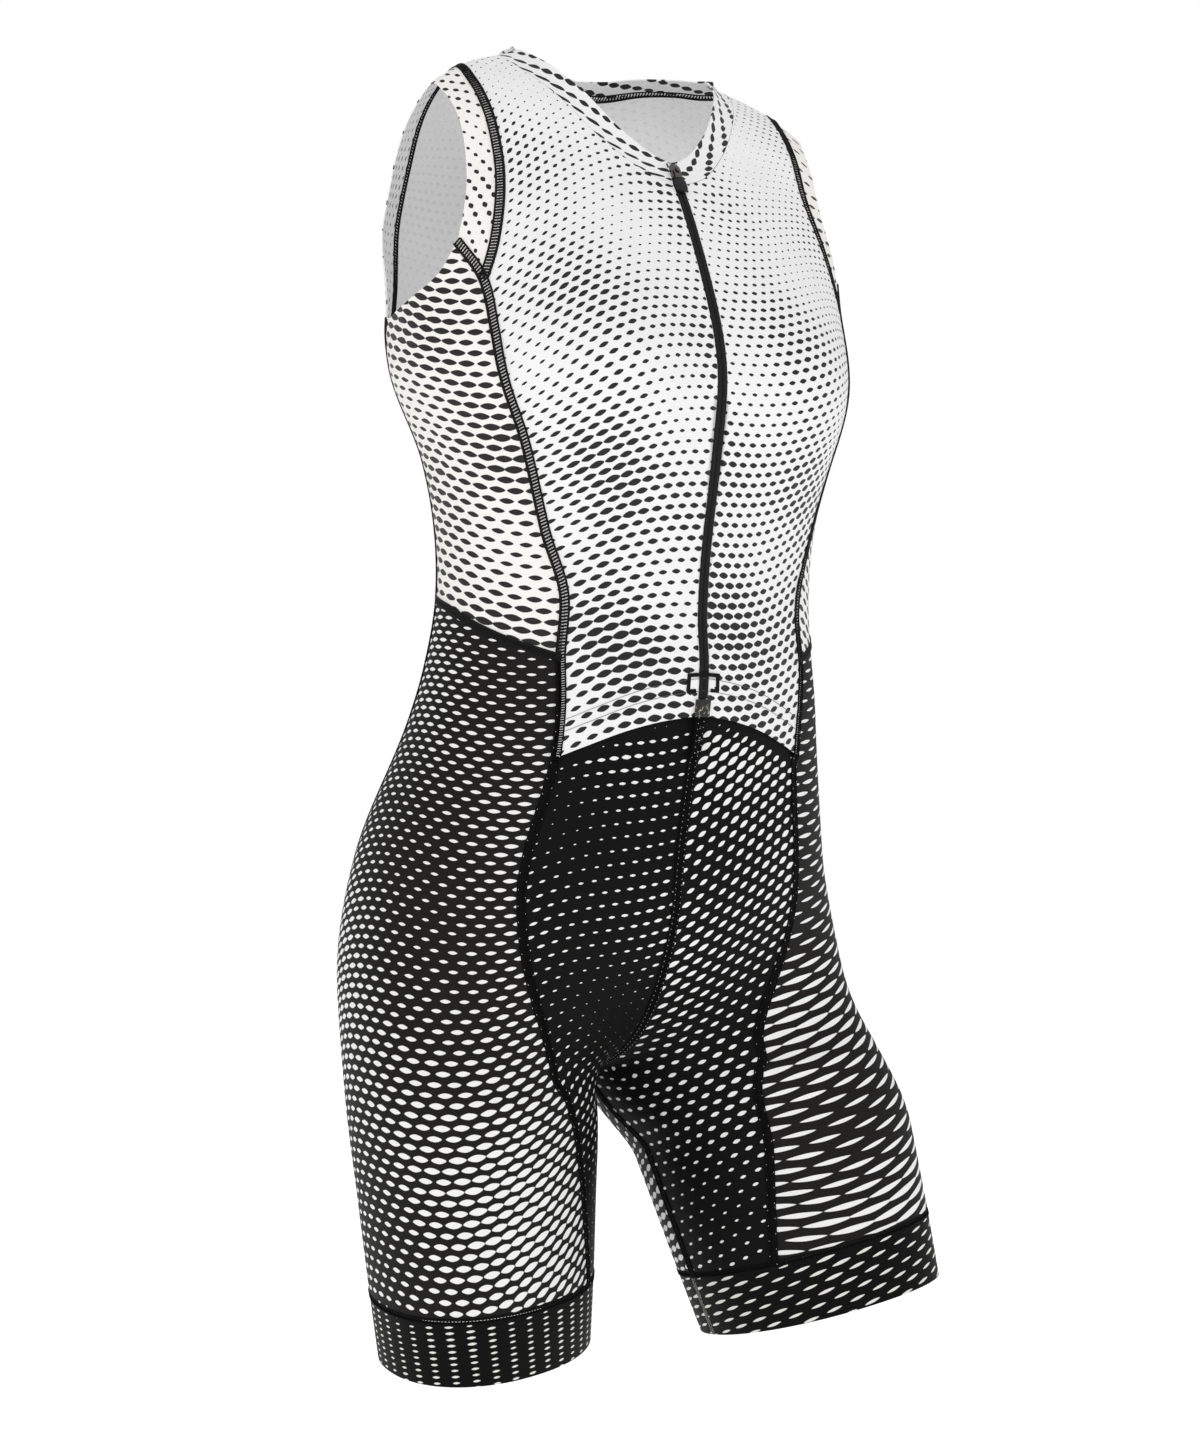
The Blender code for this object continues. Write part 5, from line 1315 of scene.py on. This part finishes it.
def ladder_tree():
    """Two edge threads along each path, and rungs between them."""
    graph, given, out = thread_group(
        "ladder seam", (("Width", 0.0054), ("Pitch", 0.0015), ("Thread", 0.0004)), "Threads")
    curve, _, outward, across = divided(graph, given["Path"], given["Pitch"])
    across = graph.vector("NORMALIZE", across)
    half = graph.math("MULTIPLY", given["Width"], 0.5)
    joined = graph.add("GeometryNodeJoinGeometry")
    for sign, bulk in EDGE_THREADS:
        edge = shifted(graph, curve, across, graph.math("MULTIPLY", half, sign))
        graph.feed(joined, (tube(graph, edge, graph.math("MULTIPLY", given["Thread"], bulk)),))
    ends = [(graph.math("MULTIPLY", half, sign), graph.math("MULTIPLY", given["Pitch"], RUNG_SLANT * sign))
            for sign in (1.0, -1.0)]
    rung = rod(graph, ends, graph.math("MULTIPLY", given["Thread"], RUNG_BULK))
    graph.feed(joined, (copies(graph, curve, rung, across, outward),))
    return put_out(graph, out, joined.outputs[0], given["Yarn"])


def running_tree():
    """Short stitches one behind the other along each path, set off from it on alternate sides."""
    graph, given, out = thread_group(
        "running stitch", (("Pitch", 0.003), ("Stitch", 0.0022), ("Thread", 0.00016), ("Zigzag", 0.0)),
        "Threads")
    curve, tangent, outward, across = divided(graph, given["Path"], given["Pitch"])
    curve = staggered(graph, curve, across, graph.math("MULTIPLY", given["Zigzag"], 0.5))
    half = graph.math("MULTIPLY", given["Stitch"], 0.5)
    stitch = rod(graph, [(graph.math("MULTIPLY", half, sign), 0.0) for sign in (-1.0, 1.0)],
                 given["Thread"], sides=5)
    return put_out(graph, out, copies(graph, curve, stitch, tangent, outward), given["Yarn"])


def coil_tree():
    """The two rows of a coil zip: turns of a monofilament that reach past the middle in turn."""
    graph, given, out = thread_group(
        "zip coil", (("Pitch", 0.00135), ("Reach", 0.0021), ("Thread", 0.00042)), "Coil")
    step = graph.math("MULTIPLY", given["Pitch"], 0.5)
    curve, _, outward, across = divided(graph, given["Path"], step)
    curve = staggered(graph, curve, across, graph.math("MULTIPLY", given["Reach"], COIL_STAGGER))
    turn = rod(graph, [(graph.math("MULTIPLY", given["Reach"], share), 0.0) for share in (-0.5, 0.5)],
               given["Thread"])
    return put_out(graph, out, copies(graph, curve, turn, across, outward), given["Yarn"])


TREES = {"ladder seam": ladder_tree, "running stitch": running_tree, "zip coil": coil_tree}


def path_mesh(name, paths):
    """Lines of points with the outward direction at each; a path is (points, directions)."""
    mesh = bpy.data.meshes.new(name)
    points = np.concatenate([p for p, _ in paths]) * MM
    edges, start = [], 0
    for path, _ in paths:
        edges += [(k, k + 1) for k in range(start, start + len(path) - 1)]
        start += len(path)
    mesh.from_pydata(points.tolist(), edges, [])
    away = mesh.attributes.new("outward", "FLOAT_VECTOR", "POINT")
    away.data.foreach_set("vector", np.concatenate([n for _, n in paths]).ravel())
    return new_object(name, mesh)


def grow(name, paths, tree_name, yarn, **lengths):
    """Run a tree over the paths and keep the result as a plain mesh. Lengths are in millimetres."""
    made = path_mesh(name, paths)
    tree = bpy.data.node_groups.get(tree_name) or TREES[tree_name]()
    modifier = made.modifiers.new(tree_name, "NODES")
    modifier.node_group = tree
    sockets = {item.name: item.identifier for item in tree.interface.items_tree if item.in_out == "INPUT"}
    for label, value in lengths.items():
        modifier[sockets[label]] = value * MM
    modifier[sockets["Yarn"]] = finishes()[yarn]
    evaluated = made.evaluated_get(bpy.context.evaluated_depsgraph_get())
    mesh = bpy.data.meshes.new_from_object(evaluated)
    made.modifiers.clear()
    made.data = mesh
    mesh.polygons.foreach_set("use_smooth", [True] * len(mesh.polygons))
    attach(made, "garment")
    return made


# ---- seams ----
def seam_path(points, side, face="outer", start=0, stop=-1, above=0.0, rise=THREAD_RISE):
    """A path on the outer or inner face of the cloth, with its directions outward."""
    points = np.asarray(points, float)
    length = ways(points * STRETCH)
    count = max(LEAST_POINTS, int((length[stop] - length[start]) / PATH_STEP))
    places = through(length, points, np.linspace(length[start], length[stop], count))
    around, drop = np.clip(places[:, 0], 0, 1), places[:, 1] - above
    out = normal(around, drop, side)
    level = rise if face == "outer" else -(SHELL + rise)
    raised = lift(around, drop) * (around < FRONT_REACH) * (drop < FRONT_HEM[-1][1] + 1)
    return surface(around, drop, side) + out * (level + raised)[:, None], out


def build_seams():
    groups = {}
    for seam in table_rows(SEAM_COLUMNS, SEAMS):
        key = (seam["yarn"], seam["width"], seam["pitch"], seam["thread"])
        for side in seam["sides"].split():
            for face in seam["faces"].split():
                path = seam_path(SEAM_LINES[seam["line"]], side, face, seam["from_knot"], seam["to_knot"])
                groups.setdefault(key, []).append(path)
    for number, ((yarn, width, pitch, thread), paths) in enumerate(groups.items(), 1):
        grow(f"flat_seam_{yarn}_{number}", paths, "ladder seam", yarn,
             Width=width, Pitch=pitch, Thread=thread)


def build_stitches():
    """The topstitched hem, the pale specks in the shorts' seams and the box round the zip's end."""
    runs = [seam_path(FRONT_HEM, side, above=above) for above in HEM_RUNS for side in ("right", "left")]
    grow("hem_topstitch", runs, "running stitch", "grey",
         Pitch=HEM_PITCH, Stitch=HEM_STITCH, Thread=HEM_THREAD)
    specks = [(speck, side) for speck in table_rows(SPECK_COLUMNS, SPECKS)
              for side in speck["sides"].split()]
    for number, (speck, side) in enumerate(specks, 1):
        path = seam_path(SEAM_LINES[speck["line"]], side, start=speck["from_knot"],
                         stop=speck["to_knot"], rise=SPECK_RISE)
        grow(f"seam_specks_{number}", [path], "running stitch", "pale", Pitch=speck["pitch"],
             Stitch=speck["stitch"], Thread=SPECK_THREAD, Zigzag=speck["zigzag"])
    for number, (first, last, width, rise) in enumerate(TACKS, 1):
        line = np.array([first, last]) / STRETCH
        paths = [seam_path(line, side, rise=rise) for side in ("left", "right")]
        grow(f"bar_tack_{number}", paths, "ladder seam", "black",
             Width=width, Pitch=TACK_PITCH, Thread=TACK_THREAD)


# ---- zip ----
def zip_frame(drop):
    """Place and outward direction on the zip's line, straight on above the neck seam."""
    on_cloth = max(drop, ZIP_TOP_DROP)
    place = surface(0.0, on_cloth, "left")
    upward = unit(surface(0.0, on_cloth - 2.0, "left") - surface(0.0, on_cloth + 2.0, "left"))
    out = normal(0.0, on_cloth, "left")
    place = place + out * lift(0.0, on_cloth)
    return place + upward * (on_cloth - drop), out


def zip_grid(profile, top, bottom):
    """A strip along the zip, its section given as (across, level)."""
    rows, away = [], []
    for drop in np.linspace(bottom, top, int((bottom - top) / ZIP_ROW) + 1):
        place, out = zip_frame(drop)
        rows.append([place + np.array([x, 0, 0]) + out * level for x, level in profile])
        away.append(out)
    return np.array(rows), np.array(away)[:, None, :]


def strip_shell(name, points, out, thick):
    """A narrow woven strip as a shell with its own cloth coordinates."""
    shell = Shell()
    size = points.shape[:2]
    shell.add(points, points - out * thick, np.stack(cloth_place(points), -1),
              np.zeros((*size, 2)), np.zeros(size), border_distance(points))
    return shell.build(name, finishes()["tape"], finishes()["tape"])


def build_tapes():
    front = flat_panels()["front"][0][:N_ZIP + 1]
    grid = np.array([spaced(row, TAPE_INNER, TAPE_OUTER, TAPE_COLUMNS) for row in front])
    grid = grid[grid[:, 0, 1] <= COIL_END_DROP]
    around, drop = grid[..., 0], grid[..., 1]
    for side in ("left", "right"):
        out = normal(around, drop, side)
        points = surface(around, drop, side) + out * (lift(around, drop) + TAPE_LEVEL)[..., None]
        made = strip_shell(f"woven_tape_{side}", points, out, TAPE_SHELL)
        stand_for(made, f"zip_tape_{side}", "garment")


def build_chain():
    """Lips of the tape that close over the coil, and the coil behind them."""
    top, bottom = ZIP_TOP_DROP - SLIDER_RISE + SEAM_GAP, COIL_END_DROP
    for sign, side in ((1, "left"), (-1, "right")):
        profile = [(sign * (LIP_INNER + (LIP_OUTER - LIP_INNER) * t),
                    LIP_LEVEL + LIP_DOME * math.sin(math.pi * t))
                   for t in np.linspace(0, 1, LIP_COLUMNS)[::sign]]
        points, out = zip_grid(profile, top, bottom)
        made = strip_shell(f"zip_lip_{side}", points, out, LIP_THICK)
        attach(made, "garment")
    points, out = zip_grid(((0.0, COIL_LEVEL),), top, bottom)
    path = points[:, 0], np.broadcast_to(out[:, 0], points[:, 0].shape)
    coil = grow("zip_coil_turns", [path], "zip coil", "moulding",
                Pitch=COIL_PITCH, Reach=COIL_WIDE, Thread=COIL_THREAD)
    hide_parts("zip_coil")


def refined(node, name, rounding, finish, slot, body):
    """A hard piece with the solid's form, its corners rounded."""
    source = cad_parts[node]
    mesh = source.data.copy()
    mesh.transform(source.matrix_world)
    work = bmesh.new()
    work.from_mesh(mesh)
    bmesh.ops.remove_doubles(work, verts=work.verts, dist=WELD)
    bmesh.ops.dissolve_limit(work, angle_limit=FLAT_ANGLE, verts=work.verts, edges=work.edges)
    bmesh.ops.recalc_face_normals(work, faces=work.faces)

    def sharp(angle):
        return [e for e in work.edges if len(e.link_faces) == 2 and e.calc_face_angle() > angle]

    bmesh.ops.bevel(work, geom=sharp(ROUNDED_ANGLE), offset=rounding * MM, offset_type="OFFSET",
                    segments=ROUNDING_STEPS, profile=ROUNDING_PROFILE, affect="EDGES", clamp_overlap=True)
    for face in work.faces:
        face.smooth = True
    for edge in sharp(KEPT_ANGLE):
        edge.smooth = False
    work.to_mesh(mesh)
    work.free()
    mesh.materials.clear()
    mesh.materials.append(finishes()[finish])
    stand_for(new_object(name, mesh), node, body)


# ---- pieces of cloth ----
PANEL_EDGES = {          # edges without a seam, and how many steps of the left edge are cut straight
    "front": (("left", "bottom"), N_ZIP), "armhole": (("left",), 0), "side": (("top",), 0),
    "shorts_front": ((), 0), "shorts_side": ((), 0), "shorts_back": ((), 0),
    "back": (("left",), N_CENTRE_BACK),
}


def build_panels(names, slots):
    panels = flat_panels()
    for side in ("left", "right"):
        for name, slot in zip(names, slots):
            grid, insets = panels[name]
            shell = Shell()
            cut = panel_sheet(shell, name, grid, side, insets, *PANEL_EDGES[name])
            made = shell.build(f"{name}_{side}_cloth", *finishes()[name, side])
            finish_cloth(made, f"{name}_{side}")


def build_back():
    """Both halves of the back in one shell, without a seam between them."""
    grid, insets = flat_panels()["back"]
    shell = Shell()
    cuts = [panel_sheet(shell, "back", grid, side, insets, *PANEL_EDGES["back"], N_CENTRE_BACK)
            for side in ("left", "right")]
    made = shell.build("back_cloth", *finishes()["back", "left"])
    finish_cloth(made, "back")


def build_collar():
    points, out = collar_points()
    edge = np.full(points.shape[:2], NO_SEAM)
    across, down = cloth_place(points, points.shape[1] // 2)
    place, spot = print_place(across, down, look_of("collar", "left"))
    shell = Shell()
    shell.add(points, points - out * COLLAR_SHELL, np.stack([across, down], -1), place, spot, edge)
    outside = finishes()["collar", "left"][0]
    made = shell.build("collar_cloth", outside, outside)
    finish_cloth(made, "collar")


def build_band(side):
    """A leg band, its print spaced so that it closes where the grid's last column meets its first."""
    points, out = band_points(side)
    edge = border_distance(points, ("left", "right", "bottom"))
    across, down = cloth_place(points)
    girth = across[:, -1:] + np.linalg.norm(points[:, -1:] - points[:, :1], axis=-1)
    mean = girth.mean()
    look = look_of("leg_band", side)
    turns = round(float(mean) / look["across"])
    look["across"] = look["across_foot"] = float(mean) / turns
    place, spot = print_place(across / girth * mean, down, look)
    last = place[:, :1] + np.array([turns * math.cos(math.radians(look["turn"])), 0.0])
    place = np.concatenate([place, last], 1)
    points, out, spot, edge, down = (np.concatenate([v, v[:, :1]], 1)
                                     for v in (points, out, spot, edge, down))
    across = np.concatenate([across, girth], 1)
    shell = Shell()
    shell.add(points, points - out * SHELL, np.stack([across, down], -1), place, spot, edge)
    made = shell.build(f"leg_band_{side}_cloth", *finishes()["leg_band", side])
    finish_cloth(made, f"leg_band_{side}")


# ---- operators ----
class SKINSUIT_OT_upper(bpy.types.Operator):
    """Fronts, armhole strips and sides, and the back in one piece"""
    bl_idname = "skinsuit.upper"
    bl_label = "White Upper"
    bl_options = {"REGISTER", "UNDO"}

    def execute(self, context):
        build_panels(("front", "armhole", "side"), ("front_knit", "side_knit", "side_knit"))
        build_back()
        return {"FINISHED"}


class SKINSUIT_OT_collar(bpy.types.Operator):
    """The collar band, folded double, that leads from the neck seam upright at the back"""
    bl_idname = "skinsuit.collar"
    bl_label = "Collar Band"
    bl_options = {"REGISTER", "UNDO"}

    def execute(self, context):
        build_collar()
        return {"FINISHED"}


class SKINSUIT_OT_shorts(bpy.types.Operator):
    """The six panels of the shorts"""
    bl_idname = "skinsuit.shorts"
    bl_label = "Black Shorts"
    bl_options = {"REGISTER", "UNDO"}

    def execute(self, context):
        build_panels(("shorts_front", "shorts_side", "shorts_back"), ("shorts_knit",) * 3)
        return {"FINISHED"}


class SKINSUIT_OT_bands(bpy.types.Operator):
    """The elastic bands that end the legs"""
    bl_idname = "skinsuit.bands"
    bl_label = "Leg Bands"
    bl_options = {"REGISTER", "UNDO"}

    def execute(self, context):
        for side in ("left", "right"):
            build_band(side)
        return {"FINISHED"}


class SKINSUIT_OT_zip(bpy.types.Operator):
    """Tapes, coil, end block, slider and pull"""
    bl_idname = "skinsuit.zip"
    bl_label = "Front Zip"
    bl_options = {"REGISTER", "UNDO"}

    def execute(self, context):
        build_tapes()
        build_chain()
        for piece in HARD_PIECES:
            refined(*piece)
        return {"FINISHED"}


class SKINSUIT_OT_seams(bpy.types.Operator):
    """Flat seams, hem stitching and tacks"""
    bl_idname = "skinsuit.seams"
    bl_label = "Seams and Stitches"
    bl_options = {"REGISTER", "UNDO"}

    def execute(self, context):
        build_seams()
        build_stitches()
        return {"FINISHED"}


# ---- studio ----
WHITE = (1.0, 1.0, 1.0, 1.0)
FLOOR_LEVEL, FLOOR_RADIUS, FLOOR_SIDES = -1.02, 14.0, 96
FLOOR_COLOUR, FLOOR_ROUGH, FLOOR_GLOW = (0.93, 0.93, 0.93, 1.0), 0.9, 0.42
WORLD_LIGHT, WORLD_SEEN = 0.62, 0.38     # strength as a light, and what the camera sees beyond that
CAMERA_PLACE = (-0.8442, -1.2999, -0.418)
CAMERA_TURN, CAMERA_LENS, CAMERA_SENSOR, CAMERA_CLIP = -33.0, 58.125, 36.0, (0.05, 60.0)
PHOTO_HEIGHT = 1440
CAMERA_SHIFT = (-28 / PHOTO_HEIGHT, -20 / PHOTO_HEIGHT)
LIGHTS = (               # name, place, aim, size, watts
    ("key", (-1.9, -2.3, 1.5), (0.0, 0.0, -0.35), 2.2, 32.0),
    ("fill", (2.4, -1.6, 0.3), (0.0, 0.0, -0.45), 2.4, 7.0),
    ("rim", (0.8, 2.4, 1.6), (0.0, 0.0, -0.3), 2.0, 15.0),
)


def build_floor():
    mesh = bpy.data.meshes.new("floor")
    work = bmesh.new()
    bmesh.ops.create_circle(work, cap_ends=True, segments=FLOOR_SIDES, radius=FLOOR_RADIUS)
    bmesh.ops.translate(work, verts=work.verts, vec=(0, 0, FLOOR_LEVEL))
    work.to_mesh(mesh)
    work.free()
    made, graph, shader = new_material("pale floor")
    graph.feed(shader, {
        "Base Color": FLOOR_COLOUR, "Roughness": FLOOR_ROUGH,
        "Emission Color": WHITE, "Emission Strength": FLOOR_GLOW})
    mesh.materials.append(made)
    new_object("floor", mesh)


def build_light(name, place, aim, size, watts):
    data = bpy.data.lights.new(name, "AREA")
    data.size, data.energy = size, watts
    lamp = new_object(name, data)
    lamp.location = place
    lamp.rotation_euler = (Vector(aim) - lamp.location).to_track_quat("-Z", "Y").to_euler()


def build_world(scene):
    world = bpy.data.worlds.new("studio")
    world.use_nodes = True
    graph = Graph(world.node_tree)
    seen = graph.add("ShaderNodeLightPath").outputs["Is Camera Ray"]
    graph.feed(world.node_tree.nodes["Background"], {
        "Strength": graph.math("MULTIPLY_ADD", seen, WORLD_SEEN, WORLD_LIGHT), "Color": WHITE})
    scene.world = world
    scene.view_settings.view_transform = "Standard"


def build_camera(scene):
    data = bpy.data.cameras.new("camera")
    data.lens, data.sensor_width, data.sensor_fit = CAMERA_LENS, CAMERA_SENSOR, "AUTO"
    data.shift_x, data.shift_y = CAMERA_SHIFT
    data.clip_start, data.clip_end = CAMERA_CLIP
    camera = new_object("camera", data)
    camera.location = CAMERA_PLACE
    camera.rotation_euler = (math.pi / 2, 0.0, math.radians(CAMERA_TURN))
    scene.camera = camera


class SKINSUIT_OT_studio(bpy.types.Operator):
    """Pale floor, soft lights and camera"""
    bl_idname = "skinsuit.studio"
    bl_label = "Studio"
    bl_options = {"REGISTER", "UNDO"}

    def execute(self, context):
        build_floor()
        for light in LIGHTS:
            build_light(*light)
        build_world(context.scene)
        build_camera(context.scene)
        return {"FINISHED"}


class SKINSUIT_PT_panel(bpy.types.Panel):
    """Sidebar panel that lists the skinsuit's pieces"""
    bl_idname = "SKINSUIT_PT_panel"
    bl_label = "Skinsuit"
    bl_space_type = "VIEW_3D"
    bl_region_type = "UI"
    bl_category = "Skinsuit"

    def draw(self, context):
        layout = self.layout
        for name in SkinsuitSettings.__annotations__:
            layout.prop(context.scene.skinsuit, name)
        for operator in OPERATORS:
            layout.operator(operator.bl_idname)


OPERATORS = (SKINSUIT_OT_upper, SKINSUIT_OT_collar, SKINSUIT_OT_shorts, SKINSUIT_OT_bands,
             SKINSUIT_OT_zip, SKINSUIT_OT_seams, SKINSUIT_OT_studio)
CLASSES = (SkinsuitSettings, *OPERATORS, SKINSUIT_PT_panel)


def register():
    for each in CLASSES:
        bpy.utils.register_class(each)
    bpy.types.Scene.skinsuit = bpy.props.PointerProperty(type=SkinsuitSettings)


def unregister():
    del bpy.types.Scene.skinsuit
    for each in reversed(CLASSES):
        bpy.utils.unregister_class(each)


def main():
    register()
    bpy.ops.skinsuit.upper()
    bpy.ops.skinsuit.collar()
    bpy.ops.skinsuit.shorts()
    bpy.ops.skinsuit.bands()
    bpy.ops.skinsuit.zip()
    bpy.ops.skinsuit.seams()
    bpy.ops.skinsuit.studio()


if __name__ == "__main__":
    main()
